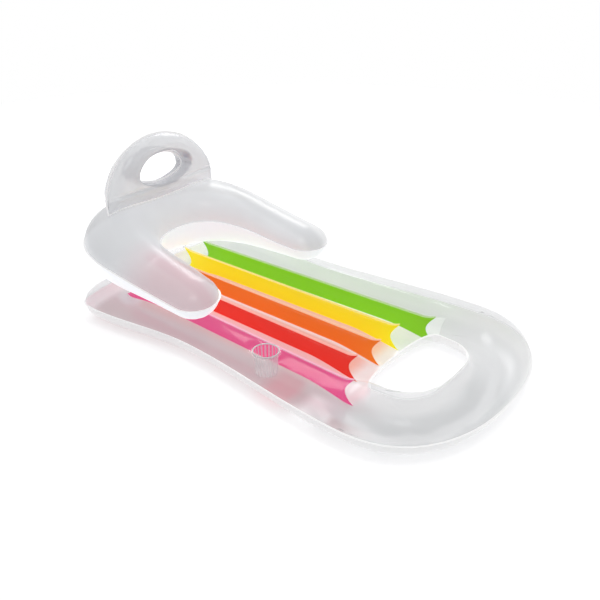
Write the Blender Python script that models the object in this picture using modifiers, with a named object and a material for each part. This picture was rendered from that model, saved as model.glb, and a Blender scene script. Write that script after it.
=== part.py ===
"""Inflatable pool chair: a channelled air mat with a foot opening, a U-shaped backrest with arms, an upright
headrest with a hole, a ribbed cup holder and three inflation valves. All of it is welded from vinyl film.

Metres, +Z up. The foot end points to -Y, the sitter's right is -X, and the origin is on the floor under the
middle of the whole chair."""

import math

import bmesh
import bpy
from mathutils import Matrix, Vector
from mathutils.bvhtree import BVHTree

# Film and welds
FILM = 0.00045
GAP = 0.0003
WELD_WIDTH = 0.006
SHARP_ANGLE = math.radians(40)
ROUGHNESS = 0.2

# Mat, seen from above: its widths, how far from its ends they lie, and how square its rounded ends are
MAT_LENGTH = 1.5
FOOT_HALF_WIDTH = 0.417
WAIST_HALF_WIDTH = 0.366
HEAD_HALF_WIDTH = 0.412
FOOT_END_TO_WIDEST = 0.31
HEAD_END_TO_WAIST = 0.53
HEAD_END_TO_WIDEST = 0.11
FOOT_CORNER_POWER = 2.3
HEAD_CORNER_POWER = 3.6

# Mat, in section
SEAM_HEIGHT = 0.068
MAT_CROWN = 0.058
EDGE_RADIUS = 0.07
FOOT_EDGE_RADIUS = 0.088
FLOOR_FLAT = 0.0005
FOOT_SWELL = 0.005
GROOVE_DEPTH = 0.036
GROOVE_REACH = 0.06
GROOVE_RUN = 0.04
FLOOR_GROOVE_DEPTH = 0.028
FLOOR_GROOVE_REACH = 0.05
FLOOR_GROOVE_RUN = 0.2
GROOVE_FADE = 0.06

# Foot opening: the line through its two corners, and how far its edges reach from there
FOOT_END_TO_CORNERS = 0.345
OPENING_HALF_WIDTH = 0.200
OPENING_TO_FOOT = 0.161
OPENING_TO_HEAD = 0.048
OPENING_FOOT_POWER = 3.0
OPENING_HEAD_POWER = 2.3

# Coloured webs inside the mat: their places across it at the foot and the head, and how far from its ends they end
INNER_WEB_FOOT_X = 0.121
INNER_WEB_HEAD_X = 0.104
FOOT_SEAM_TO_WEB = 0.181
HEAD_SEAM_TO_WEB = 0.210
CORNERS_TO_MIDDLE_WEB = 0.102
CORNERS_TO_INNER_WEB = 0.107
CORNERS_TO_OUTER_WEB = 0.039
HEAD_END_TO_WEBS = 0.033
WEB_FILM = 0.0004
WEB_GAP = 0.0008
WEB_END_HOLLOW = 0.032
WEB_STATION_SHARES = (0, 0.04, 0.1, 0.2, 0.35, 0.5, 0.65, 0.8, 0.9, 0.96, 1)
WEB_RISERS = 3
WEB_PROBES = 8

# Counts and shares of the mat's net
TUBE_STRIPS = 4
EDGE_ANGLES = (math.radians(60), math.radians(30), 0)
FOOT_ROW_SHARES = (0, 0.11, 0.37, 0.63, 0.89, 1)
HEAD_END_SHARES = (0, 0.016, 0.059)
HEAD_MIDDLE_ROWS = 5
OPENING_TUBE_SHARE = 3 / TUBE_STRIPS

# Backrest, seen from above: lengths along Y are measured forward from its rear seam
BACK_OVERHANG = 0.110
BACK_LENGTH = 0.699
BACK_HALF_WIDTH = 0.385
BACK_CORNER_LENGTH = 0.346
BACK_CORNER_POWER = 2.84
BACK_THICKNESS = 0.230
LAP_HALF_WIDTH = 0.190
LAP_CORNER_LENGTH = 0.251
LAP_CORNER_POWER = 2.4
ARM_TOE_IN = 0.0075
ARM_SPLAY = 0.025
ARM_TIP_ROUND = 0.067
REAR_TO_PIVOT = 0.160
REAR_TO_HEADREST = 0.163

# Backrest, in section
ARM_SEAM_RISE = 0.062
REAR_SEAM_RISE = 0.144
ARM_CROWN = 0.058
REAR_CROWN = 0.112
ARM_SAG = 0.064
REAR_SAG = 0.146
BACK_CORNER_RINGS = 6
ARM_RINGS = 7
BACK_STRIPS = 8

# Headrest, an arch that leans back a little; heights are measured up its own face
HEADREST_HALF_WIDTH = 0.2525
HEADREST_RISE = 0.213
HEADREST_STRAIGHT = 0.017
HEADREST_LEAN = math.radians(6)
HEADREST_SEAT_GAP = 0.0008
HEADREST_CROWN = 0.045
HEADREST_EDGE_RADIUS = 0.05
HOLE_HALF_WIDTH = 0.116
HOLE_HALF_HEIGHT = 0.054
HOLE_RISE = 0.112
CREASE_RISE = 0.056
CREASE_DEPTH = 0.010
CREASE_REACH = 0.022
HOLE_COLUMNS = 4
SIDE_COLUMNS = 4
BAND_SHARES = (0, 0.14, 0.5, 1)
CHEEK_SHARES = (0.4, 1)
BROW_SHARES = (0, 0.1, 0.36, 0.66, 0.9, 1)
CHEEK_TOP_SHARE = 0.5
CREASE_SIDE_SHARE = 0.6
SEAT_PROBE_SHARES = (0.2, 0.4, 0.6, 0.8)

# Cup holder; its flange is welded under the film, round a hole in it
SEAM_TO_CUP = 0.087
CORNERS_TO_CUP = 0.324
CUP_MOUTH_RADIUS = 0.0385
CUP_FOOT_RADIUS = 0.0358
CUP_RIM_RADIUS = 0.044
CUP_HOLE_RADIUS = 0.050
CUP_FLANGE_RADIUS = 0.057
CUP_WALL = 0.0012
CUP_FLOOR_HEIGHT = 0.045
CUP_RECESS = 0.006
CUP_CORNER = 0.003
CUP_FLUTES = 20
CUP_FLUTE_DEPTH = 0.0014
STEPS_PER_FLUTE = 2
RING_RADIUS = 0.0022
RING_STEPS = 40
RING_SIDES = 8

# Valves
STEM_OUTER = 0.0065
STEM_BORE = 0.0042
STEM_OUTSIDE = 0.009
STEM_INSIDE = 0.008
COLLAR_RADIUS = 0.0135
COLLAR_THICKNESS = 0.0009
FLAP_RADIUS = 0.0056
FLAP_THICKNESS = 0.0006
PLUG_RADIUS = 0.0084
PLUG_THICKNESS = 0.0014
PLUG_DEPTH = 0.006
PLUG_FIT = 0.0003
TAB_LENGTH = 0.007
TAB_WIDTH = 0.007
VALVE_STEPS = 24
MAT_VALVE_X = 0.16
MAT_VALVE_DROP = 0.022
BACK_VALVE_X = 0.14
BACK_VALVE_RISE = 0.050
HEADREST_VALVE_X = 0.184
HEADREST_VALVE_RISE = 0.110

# Worked out from the above; places along Y are measured from the middle of the mat
MIDDLE_Y = BACK_OVERHANG / 2
FOOT_WIDEST_Y = FOOT_END_TO_WIDEST - MAT_LENGTH / 2
WAIST_Y = MAT_LENGTH / 2 - HEAD_END_TO_WAIST
HEAD_WIDEST_Y = MAT_LENGTH / 2 - HEAD_END_TO_WIDEST
OPENING_CORNER_Y = FOOT_END_TO_CORNERS - MAT_LENGTH / 2
OUTER_WEB_FOOT_X = FOOT_HALF_WIDTH - FOOT_SEAM_TO_WEB
OUTER_WEB_HEAD_X = HEAD_HALF_WIDTH - HEAD_SEAM_TO_WEB
MIDDLE_WEB_FOOT_Y = OPENING_CORNER_Y + CORNERS_TO_MIDDLE_WEB
INNER_WEB_FOOT_Y = OPENING_CORNER_Y + CORNERS_TO_INNER_WEB
OUTER_WEB_FOOT_Y = OPENING_CORNER_Y + CORNERS_TO_OUTER_WEB
WEB_HEAD_Y = MAT_LENGTH / 2 - HEAD_END_TO_WEBS
BACK_REAR_Y = MAT_LENGTH / 2 + BACK_OVERHANG
BACK_SHOULDER_Y = BACK_REAR_Y - BACK_CORNER_LENGTH
LAP_REAR_Y = BACK_REAR_Y - BACK_THICKNESS
LAP_SHOULDER_Y = LAP_REAR_Y - LAP_CORNER_LENGTH
ARM_TIP_Y = BACK_REAR_Y - BACK_LENGTH
BACKREST_PIVOT_Y = BACK_REAR_Y - REAR_TO_PIVOT
HEADREST_Y = BACK_REAR_Y - REAR_TO_HEADREST
CUP_Y = OPENING_CORNER_Y + CORNERS_TO_CUP
MAT_SAG = SEAM_HEIGHT - GAP / 2 - FILM
MAT_TOP = SEAM_HEIGHT + GAP / 2 + FILM + MAT_CROWN
BACK_BOTTOM = MAT_TOP + GAP
HALF_COLUMNS = 2 * TUBE_STRIPS + 2 + len(EDGE_ANGLES)
OPENING_COLUMN = TUBE_STRIPS + round(OPENING_TUBE_SHARE * TUBE_STRIPS)
UP = Vector((0, 0, 1))

COLOURS = {
    "clear_vinyl": (0.86, 0.87, 0.88, 1),
    "web_green": (0.22, 0.58, 0.03, 1),
    "web_yellow": (1.0, 0.64, 0.0, 1),
    "web_orange": (0.87, 0.16, 0.01, 1),
    "web_red": (0.80, 0.04, 0.02, 1),
    "web_pink": (0.80, 0.07, 0.29, 1),
    "valve_vinyl": (0.55, 0.68, 0.76, 1),
}


def smooth(share):
    share = min(max(share, 0), 1)
    return share * share * (3 - 2 * share)


def mix(low, high, share):
    return low + (high - low) * share


def power_arc(share, power):
    """Height of a rounded corner of the given power, 1 at its middle and 0 at its end."""
    return (1 - min(abs(share), 1) ** power) ** (1 / power)


def dome(distance, radius):
    """How full a chamber is at a distance from its seam: 0 on it, and 1 from the radius on."""
    short = 1 - min(max(distance, 0) / radius, 1)
    return math.sqrt(1 - short * short)


def material(name):
    made = bpy.data.materials.new(name)
    made.use_nodes = True
    shader = made.node_tree.nodes["Principled BSDF"]
    shader.inputs["Base Color"].default_value = COLOURS[name]
    shader.inputs["Roughness"].default_value = ROUGHNESS
    shader.inputs["Metallic"].default_value = 0
    made.diffuse_color = COLOURS[name]
    return made


def new_object(name, bm, finish, collection, thickness=0):
    """A named object from a bmesh, placed on the chair's own origin, with its film's thickness if it is a sheet."""
    mesh = bpy.data.meshes.new(name)
    bm.to_mesh(mesh)
    bm.free()
    mesh.materials.append(finish)
    mesh.shade_smooth()
    mesh.set_sharp_from_angle(angle=SHARP_ANGLE)
    made = bpy.data.objects.new(name, mesh)
    collection.objects.link(made)
    if thickness:
        solid = made.modifiers.new("Film", "SOLIDIFY")
        solid.thickness = thickness
        solid.offset = -1
    return made


def grid(bm, columns, rows, place):
    """A net of faces whose point (column, row) goes to place(column, row)."""
    made = bmesh.ops.create_grid(bm, x_segments=columns, y_segments=rows, size=1)
    for vert in made["verts"]:
        column = round((vert.co.x + 1) / 2 * columns)
        row = round((vert.co.y + 1) / 2 * rows)
        vert.co = place(column, row)


def face_towards(bm, direction):
    """Turns an open sheet over if most of it looks away from the direction."""
    bm.normal_update()
    if sum(face.normal.dot(direction) * face.calc_area() for face in bm.faces) < 0:
        bmesh.ops.reverse_faces(bm, faces=bm.faces)
        bm.normal_update()


def add_weld(bm, width, up):
    """Runs a flat welded edge of the given width out from every open edge, in the plane square to up."""
    edges = [edge for edge in bm.edges if edge.is_boundary]
    outward = {}
    for edge in edges:
        loop = edge.link_loops[0]
        along = loop.link_loop_next.vert.co - loop.vert.co
        across = along.cross(up).normalized()
        for vert in edge.verts:
            outward[vert] = outward.get(vert, Vector()) + across
    grown = bmesh.ops.extrude_edge_only(bm, edges=edges)["geom"]
    for vert in [item for item in grown if isinstance(item, bmesh.types.BMVert)]:
        origin = next(edge.other_vert(vert) for edge in vert.link_edges if edge.other_vert(vert) in outward)
        vert.co = origin.co + outward[origin].normalized() * width


def finish_sheet(name, bm, up, finish, collection):
    """Gives a chamber's wall its welded edge and its thickness, with its outer face where the net is."""
    face_towards(bm, up)
    add_weld(bm, WELD_WIDTH, up)
    bmesh.ops.triangulate(bm, faces=bm.faces)
    bmesh.ops.translate(bm, verts=bm.verts, vec=(0, -MIDDLE_Y, 0))
    return new_object(name, bm, finish, collection, FILM)


def surface(sheet):
    """The outer face of a sheet, for lines that strike it."""
    bm = bmesh.new()
    bm.from_mesh(sheet.data)
    tree = BVHTree.FromBMesh(bm)
    bm.free()
    return tree


def height_of(tree, x, y, from_above=True):
    """Height of a sheet at (x, y), seen from above or from below."""
    start = Vector((x, y, MAT_LENGTH if from_above else -MAT_LENGTH))
    return tree.ray_cast(start, -UP if from_above else UP)[0].z


def edge_distance(point, edges):
    nearest = math.inf
    for start, end in edges:
        along = end - start
        share = min(max((point - start).dot(along) / along.length_squared, 0), 1)
        nearest = min(nearest, (point - start - along * share).length)
    return nearest


def open_edges(bm):
    return [(edge.verts[0].co.copy(), edge.verts[1].co.copy()) for edge in bm.edges if edge.is_boundary]


# Mat


def side_half_width(y):
    if y < WAIST_Y:
        share = smooth((WAIST_Y - y) / (WAIST_Y - FOOT_WIDEST_Y))
        return mix(WAIST_HALF_WIDTH, FOOT_HALF_WIDTH, share)
    return mix(WAIST_HALF_WIDTH, HEAD_HALF_WIDTH, smooth((y - WAIST_Y) / (HEAD_WIDEST_Y - WAIST_Y)))


def fan_share(y):
    """0 where the webs end at the foot, 1 where they end at the head."""
    return min(max((y - OUTER_WEB_FOOT_Y) / (WEB_HEAD_Y - OUTER_WEB_FOOT_Y), 0), 1)


def inner_web_x(y):
    return mix(INNER_WEB_FOOT_X, INNER_WEB_HEAD_X, fan_share(y))


def outer_web_x(y):
    return mix(OUTER_WEB_FOOT_X, OUTER_WEB_HEAD_X, fan_share(y))


def column_x(column, y):
    """Where the given column of the net lies at y."""
    inner, outer, seam = inner_web_x(y), outer_web_x(y), side_half_width(y)
    strip = abs(column)
    if strip <= TUBE_STRIPS:
        place = inner * strip / TUBE_STRIPS
    elif strip <= 2 * TUBE_STRIPS:
        share = (strip - TUBE_STRIPS) / TUBE_STRIPS
        if strip == OPENING_COLUMN:
            near = smooth((MIDDLE_WEB_FOOT_Y - y) / (MIDDLE_WEB_FOOT_Y - OPENING_CORNER_Y))
            share = mix(share, (OPENING_HALF_WIDTH - inner) / (outer - inner), near)
        place = mix(inner, outer, share)
    else:
        crown = seam - EDGE_RADIUS
        step = strip - 2 * TUBE_STRIPS
        if step == 1:
            place = (outer + crown) / 2
        elif step == 2:
            place = crown
        else:
            place = seam - EDGE_RADIUS * (1 - math.cos(EDGE_ANGLES[step - 3]))
    return math.copysign(place, column)


def end_y(column, foot):
    """Where the given column meets the rounded end of the mat."""
    if foot:
        widest, end, power = FOOT_WIDEST_Y, -MAT_LENGTH / 2, FOOT_CORNER_POWER
    else:
        widest, end, power = HEAD_WIDEST_Y, MAT_LENGTH / 2, HEAD_CORNER_POWER
    share = abs(column_x(column, widest)) / side_half_width(widest)
    return mix(widest, end, power_arc(share, power))


def opening_y(column, foot):
    """The edge of the foot opening on the given column, or the line through its corners beside it."""
    if abs(column) >= OPENING_COLUMN:
        return OPENING_CORNER_Y
    share = column_x(column, OPENING_CORNER_Y) / OPENING_HALF_WIDTH
    if foot:
        return OPENING_CORNER_Y - OPENING_TO_FOOT * power_arc(share, OPENING_FOOT_POWER)
    return OPENING_CORNER_Y + OPENING_TO_HEAD * power_arc(share, OPENING_HEAD_POWER)


def head_row_shares():
    first, last = HEAD_END_SHARES[-1], 1 - HEAD_END_SHARES[-1]
    middle = [mix(first, last, row / HEAD_MIDDLE_ROWS) for row in range(1, HEAD_MIDDLE_ROWS)]
    return [*HEAD_END_SHARES, *middle, *(1 - share for share in reversed(HEAD_END_SHARES))]


def plan_point(column, low, high, share):
    y = mix(low, high, share)
    return Vector((column_x(column, y), y, 0))


def groove(x, y, reach, run):
    """How far the film is drawn in at (x, y): 1 on a web, 0 midway between two webs and past their ends."""
    deepest = 0
    webs = (
        (0, MIDDLE_WEB_FOOT_Y),
        (inner_web_x(y), INNER_WEB_FOOT_Y),
        (outer_web_x(y), OUTER_WEB_FOOT_Y),
    )
    for web_x, foot_y in webs:
        aside = max(1 - abs(abs(x) - web_x) / reach, 0) ** 2
        inside = min(y - foot_y, WEB_HEAD_Y - y)
        deepest = max(deepest, aside * smooth((inside + GROOVE_FADE) / (run + GROOVE_FADE)))
    return deepest


def film_rise(point, edges, top):
    """How far the film stands from the seam's plane over a point of the plan."""
    footward = smooth((MIDDLE_WEB_FOOT_Y - point.y) / (MIDDLE_WEB_FOOT_Y - OPENING_CORNER_Y))
    full = dome(edge_distance(point, edges), mix(EDGE_RADIUS, FOOT_EDGE_RADIUS, footward))
    if top:
        crown = MAT_CROWN + FOOT_SWELL * footward
        return (crown - GROOVE_DEPTH * groove(point.x, point.y, GROOVE_REACH, GROOVE_RUN)) * full
    drawn_in = FLOOR_GROOVE_DEPTH * groove(point.x, point.y, FLOOR_GROOVE_REACH, FLOOR_GROOVE_RUN)
    return (MAT_SAG + FLOOR_FLAT - drawn_in) * full


def mat_sheet(name, top, finish, collection):
    """The upper or lower film of the mat: a net round the foot opening, raised from the seam's plane."""
    bm = bmesh.new()
    head_shares = head_row_shares()
    columns = 2 * HALF_COLUMNS

    def foot_place(column, row):
        column -= HALF_COLUMNS
        return plan_point(column, end_y(column, True), opening_y(column, True), FOOT_ROW_SHARES[row])

    def head_place(column, row):
        column -= HALF_COLUMNS
        return plan_point(column, opening_y(column, False), end_y(column, False), head_shares[row])

    grid(bm, columns, len(FOOT_ROW_SHARES) - 1, foot_place)
    grid(bm, columns, len(head_shares) - 1, head_place)
    bmesh.ops.remove_doubles(bm, verts=bm.verts, dist=GAP / 10)
    edges = open_edges(bm)
    side = 1 if top else -1
    for vert in bm.verts:
        rise = 0 if vert.is_boundary else film_rise(vert.co, edges, top)
        vert.co.z = max(SEAM_HEIGHT + side * (GAP / 2 + FILM + rise), 0)
    return finish_sheet(name, bm, UP * side, finish, collection)


def web(name, side, place_x, foot_y, trees, finish, collection):
    """One coloured web: an upright strip of film whose two ends are hollowed between their pointed corners."""
    bm = bmesh.new()
    last = len(WEB_STATION_SHARES) - 1

    def heights(tree, station, from_above):
        """Heights of a film over the web, from the station before the given one to the station after it."""
        first, final = WEB_STATION_SHARES[max(station - 1, 0)], WEB_STATION_SHARES[min(station + 1, last)]
        probes = [mix(first, final, probe / WEB_PROBES) for probe in range(WEB_PROBES + 1)]
        places = [mix(foot_y, WEB_HEAD_Y, share) for share in probes]
        return [height_of(tree, side * place_x(y), y - MIDDLE_Y, from_above) for y in places]

    highs = [min(heights(trees[0], station, True)) - FILM - WEB_GAP for station in range(last + 1)]
    lows = [max(heights(trees[1], station, False)) + FILM + WEB_GAP for station in range(last + 1)]

    def place(station, riser):
        share = riser / WEB_RISERS
        hollow = WEB_END_HOLLOW * (1 - (2 * share - 1) ** 2)
        y = mix(foot_y + hollow, WEB_HEAD_Y - hollow, WEB_STATION_SHARES[station])
        height = mix(lows[station], highs[station], share)
        return Vector((side * place_x(y) + WEB_FILM / 2, y - MIDDLE_Y, height))

    grid(bm, last, WEB_RISERS, place)
    bmesh.ops.triangulate(bm, faces=bm.faces)
    face_towards(bm, Vector((1, 0, 0)))
    return new_object(name, bm, finish, collection, WEB_FILM)


# Backrest


def back_share(y):
    """0 at the tips of the arms, 1 at the rear seam."""
    return (y - ARM_TIP_Y) / (BACK_REAR_Y - ARM_TIP_Y)


def tip_share(y):
    """How wide an arm still is at y: 1 as far as its rounded tip, 0 at the end of it."""
    return dome(y - ARM_TIP_Y, ARM_TIP_ROUND)


def back_seam(ring, outer):
    """The outer or inner seam of the backrest in plan, ring by ring from the middle of the rear (0) to an arm's tip."""
    if outer:
        half_width, shoulder, rear, power = BACK_HALF_WIDTH, BACK_SHOULDER_Y, BACK_REAR_Y, BACK_CORNER_POWER
        aside = -ARM_TOE_IN
    else:
        half_width, shoulder, rear, power = LAP_HALF_WIDTH, LAP_SHOULDER_Y, LAP_REAR_Y, LAP_CORNER_POWER
        aside = ARM_SPLAY
    step = abs(ring)
    if step <= BACK_CORNER_RINGS:
        angle = math.pi / 2 * step / BACK_CORNER_RINGS
        x = half_width * math.sin(angle) ** (2 / power)
        y = mix(shoulder, rear, max(math.cos(angle), 0) ** (2 / power))
    else:
        down = math.sin(math.pi / 2 * (step - BACK_CORNER_RINGS) / ARM_RINGS)
        y = mix(shoulder, ARM_TIP_Y, down)
        side = half_width + aside * down * down
        middle = (BACK_HALF_WIDTH - ARM_TOE_IN + LAP_HALF_WIDTH + ARM_SPLAY) / 2
        x = mix(middle, side, tip_share(y))
    return Vector((math.copysign(x, ring), y, BACK_BOTTOM + mix(ARM_SEAM_RISE, REAR_SEAM_RISE, back_share(y))))


def backrest_sheet(name, top, finish, collection):
    """The upper or lower film of the backrest: half rings along its U, closed at the tips of the arms."""
    bm = bmesh.new()
    last = BACK_CORNER_RINGS + ARM_RINGS
    side = 1 if top else -1

    def place(ring, strip):
        outer, inner = back_seam(ring - last, True), back_seam(ring - last, False)
        angle = math.pi * strip / BACK_STRIPS
        point = outer.lerp(inner, (1 - math.cos(angle)) / 2)
        share = smooth(back_share((outer.y + inner.y) / 2))
        high = mix(ARM_CROWN, REAR_CROWN, share) if top else mix(ARM_SAG, REAR_SAG, share)
        rise = GAP / 2 + FILM + high * math.sin(angle) * tip_share(inner.y)
        point.z = max(point.z + side * rise, BACK_BOTTOM)
        return point

    grid(bm, 2 * last, BACK_STRIPS, place)
    bmesh.ops.remove_doubles(bm, verts=bm.verts, dist=GAP / 10)
    return finish_sheet(name, bm, UP * side, finish, collection)


# Headrest


def arch_top(x):
    return HEADREST_STRAIGHT + HEADREST_RISE * power_arc(x / HEADREST_HALF_WIDTH, 2)


def headrest_x(column):
    if abs(column) <= HOLE_COLUMNS:
        return HOLE_HALF_WIDTH * math.sin(math.pi / 2 * column / HOLE_COLUMNS)
    share = math.sin(math.pi / 2 * (abs(column) - HOLE_COLUMNS) / SIDE_COLUMNS)
    return math.copysign(mix(HOLE_HALF_WIDTH, HEADREST_HALF_WIDTH, share), column)


def lower_rise(x, row):
    """Heights of the net below the hole and below the line through its corners: a band, the crease and the cheeks."""
    top = min(HOLE_RISE, CHEEK_TOP_SHARE * arch_top(x)) - HOLE_HALF_HEIGHT * power_arc(x / HOLE_HALF_WIDTH, 2)
    crease = min(CREASE_RISE, CREASE_SIDE_SHARE * top) if abs(x) > HOLE_HALF_WIDTH else CREASE_RISE
    if row < len(BAND_SHARES):
        return crease * BAND_SHARES[row]
    return mix(crease, top, CHEEK_SHARES[row - len(BAND_SHARES)])


def upper_rise(x, row):
    low = min(HOLE_RISE, CHEEK_TOP_SHARE * arch_top(x)) + HOLE_HALF_HEIGHT * power_arc(x / HOLE_HALF_WIDTH, 2)
    return mix(low, arch_top(x), BROW_SHARES[row])


def seat_height(tree, x):
    """Height of the headrest's lowest seam at x, whose weld below it seats on the backrest."""
    y = HEADREST_Y - MIDDLE_Y
    seat = max(height_of(tree, x, y - FILM - GAP), height_of(tree, x, y + FILM + GAP))
    return seat + HEADREST_SEAT_GAP + WELD_WIDTH


def seat_line(tree, columns):
    """The lowest seam's height on each column, raised where its straight run would cut into the backrest's crown."""
    places = [headrest_x(column) for column in columns]
    heights = [seat_height(tree, x) for x in places]
    lifts = [0] * len(places)
    for column in range(len(places) - 1):
        for share in SEAT_PROBE_SHARES:
            level = mix(heights[column], heights[column + 1], share)
            excess = seat_height(tree, mix(places[column], places[column + 1], share)) - level
            lifts[column] = max(lifts[column], excess)
            lifts[column + 1] = max(lifts[column + 1], excess)
    return {x: height + lift for x, height, lift in zip(places, heights, lifts)}


def headrest_sheet(name, front, back_tree, finish, collection):
    """The front or back film of the headrest: a net round its hole, whose foot follows the backrest's crown."""
    bm = bmesh.new()
    half = HOLE_COLUMNS + SIDE_COLUMNS
    side = -1 if front else 1

    def lower_place(column, row):
        x = headrest_x(column - half)
        return Vector((x, 0, lower_rise(x, row)))

    def upper_place(column, row):
        x = headrest_x(column - half)
        return Vector((x, 0, upper_rise(x, row)))

    grid(bm, 2 * half, len(BAND_SHARES) + len(CHEEK_SHARES) - 1, lower_place)
    grid(bm, 2 * half, len(BROW_SHARES) - 1, upper_place)
    bmesh.ops.remove_doubles(bm, verts=bm.verts, dist=GAP / 10)
    seats = seat_line(back_tree, range(-half, half + 1))
    middle = seats[headrest_x(0)]
    for vert in bm.verts:
        nearest = min(seats, key=lambda x: abs(x - vert.co.x))
        drop = middle - seats[nearest]
        vert.co.z -= drop * (1 - smooth(vert.co.z / HOLE_RISE))
    edges = open_edges(bm)
    for vert in bm.verts:
        rise = 0
        if not vert.is_boundary:
            beside = smooth(abs(vert.co.x) / HOLE_HALF_WIDTH)
            near = 1 - smooth(abs(vert.co.z - CREASE_RISE) / CREASE_REACH)
            full = dome(edge_distance(vert.co, edges), HEADREST_EDGE_RADIUS)
            rise = (HEADREST_CROWN - CREASE_DEPTH * beside * near) * full
        vert.co.y = side * (GAP / 2 + FILM + rise)
    face_towards(bm, Vector((0, side, 0)))
    add_weld(bm, WELD_WIDTH, Vector((0, side, 0)))
    bmesh.ops.triangulate(bm, faces=bm.faces)
    place = Matrix.Translation((0, HEADREST_Y - MIDDLE_Y, middle)) @ Matrix.Rotation(-HEADREST_LEAN, 4, "X")
    bmesh.ops.transform(bm, matrix=place, verts=bm.verts)
    return new_object(name, bm, finish, collection, FILM)


# Cup holder


def cup_holder(tree, x, y, rim, finish, collection):
    """The moulded cup: a flange under the film, a dished rim, a fluted wall and a flat floor."""
    steps = CUP_FLUTES * STEPS_PER_FLUTE
    flange = (CUP_FLANGE_RADIUS, CUP_HOLE_RADIUS)
    wall = (
        (CUP_RIM_RADIUS, rim, False),
        (CUP_MOUTH_RADIUS, rim, False),
        (CUP_MOUTH_RADIUS, rim - CUP_CORNER, True),
        (CUP_FOOT_RADIUS, CUP_FLOOR_HEIGHT + CUP_CORNER, True),
        (CUP_FOOT_RADIUS - CUP_CORNER, CUP_FLOOR_HEIGHT, False),
        (0, CUP_FLOOR_HEIGHT, False),
    )
    bm = bmesh.new()

    def place(step, row):
        around = Vector((math.cos(2 * math.pi * step / steps), math.sin(2 * math.pi * step / steps), 0))
        if row < len(flange):
            point = Vector((x, y, 0)) + around * flange[row]
            point.z = height_of(tree, point.x, point.y) - FILM - 2 * GAP
            return point
        radius, height, fluted = wall[row - len(flange)]
        if fluted and step % STEPS_PER_FLUTE:
            radius -= CUP_FLUTE_DEPTH
        return Vector((x, y, height)) + around * radius

    grid(bm, steps, len(flange) + len(wall) - 1, place)
    bmesh.ops.remove_doubles(bm, verts=bm.verts, dist=GAP / 10)
    bmesh.ops.triangulate(bm, faces=bm.faces)
    face_towards(bm, UP)
    return new_object("cup_holder", bm, finish, collection, CUP_WALL)


def cup_ring(x, y, rim, finish, collection):
    """The rolled rim, a ring that lies on the cup's dished edge."""
    radius = CUP_MOUTH_RADIUS + RING_RADIUS
    bpy.ops.mesh.primitive_torus_add(
        major_radius=radius, minor_radius=RING_RADIUS, major_segments=RING_STEPS, minor_segments=RING_SIDES
    )
    ring = bpy.context.object
    ring.name = "cup_ring"
    ring.data.name = "cup_ring"
    ring.data.materials.append(finish)
    ring.data.shade_smooth()
    ring.location = (x, y, rim + RING_RADIUS + GAP)
    for holder in list(ring.users_collection):
        holder.objects.unlink(ring)
    collection.objects.link(ring)


def combine(piece, operation, name, bm, place, helpers):
    """Cuts or joins a helper solid, whose mesh stands in the given frame."""
    mesh = bpy.data.meshes.new(name)
    bm.to_mesh(mesh)
    bm.free()
    helper = bpy.data.objects.new(name, mesh)
    helpers.objects.link(helper)
    helper.matrix_world = place
    helper.hide_render = True
    helper.display_type = "WIRE"
    combined = piece.modifiers.new(name, "BOOLEAN")
    combined.operation = operation
    combined.object = helper


def cut(sheet, name, radius, depth, place, helpers):
    """Cuts a round hole through a sheet, along the +Z of the given frame."""
    bm = bmesh.new()
    bmesh.ops.create_cone(bm, cap_ends=True, segments=VALVE_STEPS, radius1=radius, radius2=radius, depth=depth)
    combine(sheet, "DIFFERENCE", name, bm, place, helpers)


# Valves


def turned(name, profile, closed, finish, collection):
    """A turned piece from its profile of (radius, height), outer side from the top down."""
    bm = bmesh.new()
    verts = [bm.verts.new((radius, 0, height)) for radius, height in profile]
    for first, second in zip(verts, verts[1:]):
        bm.edges.new((first, second))
    if closed:
        bm.edges.new((verts[-1], verts[0]))
    mesh = bpy.data.meshes.new(name)
    bm.to_mesh(mesh)
    bm.free()
    mesh.materials.append(finish)
    made = bpy.data.objects.new(name, mesh)
    collection.objects.link(made)
    spin = made.modifiers.new("Spin", "SCREW")
    spin.steps = VALVE_STEPS
    spin.render_steps = VALVE_STEPS
    spin.use_merge_vertices = True
    spin.merge_threshold = GAP / 10
    return made


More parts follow.
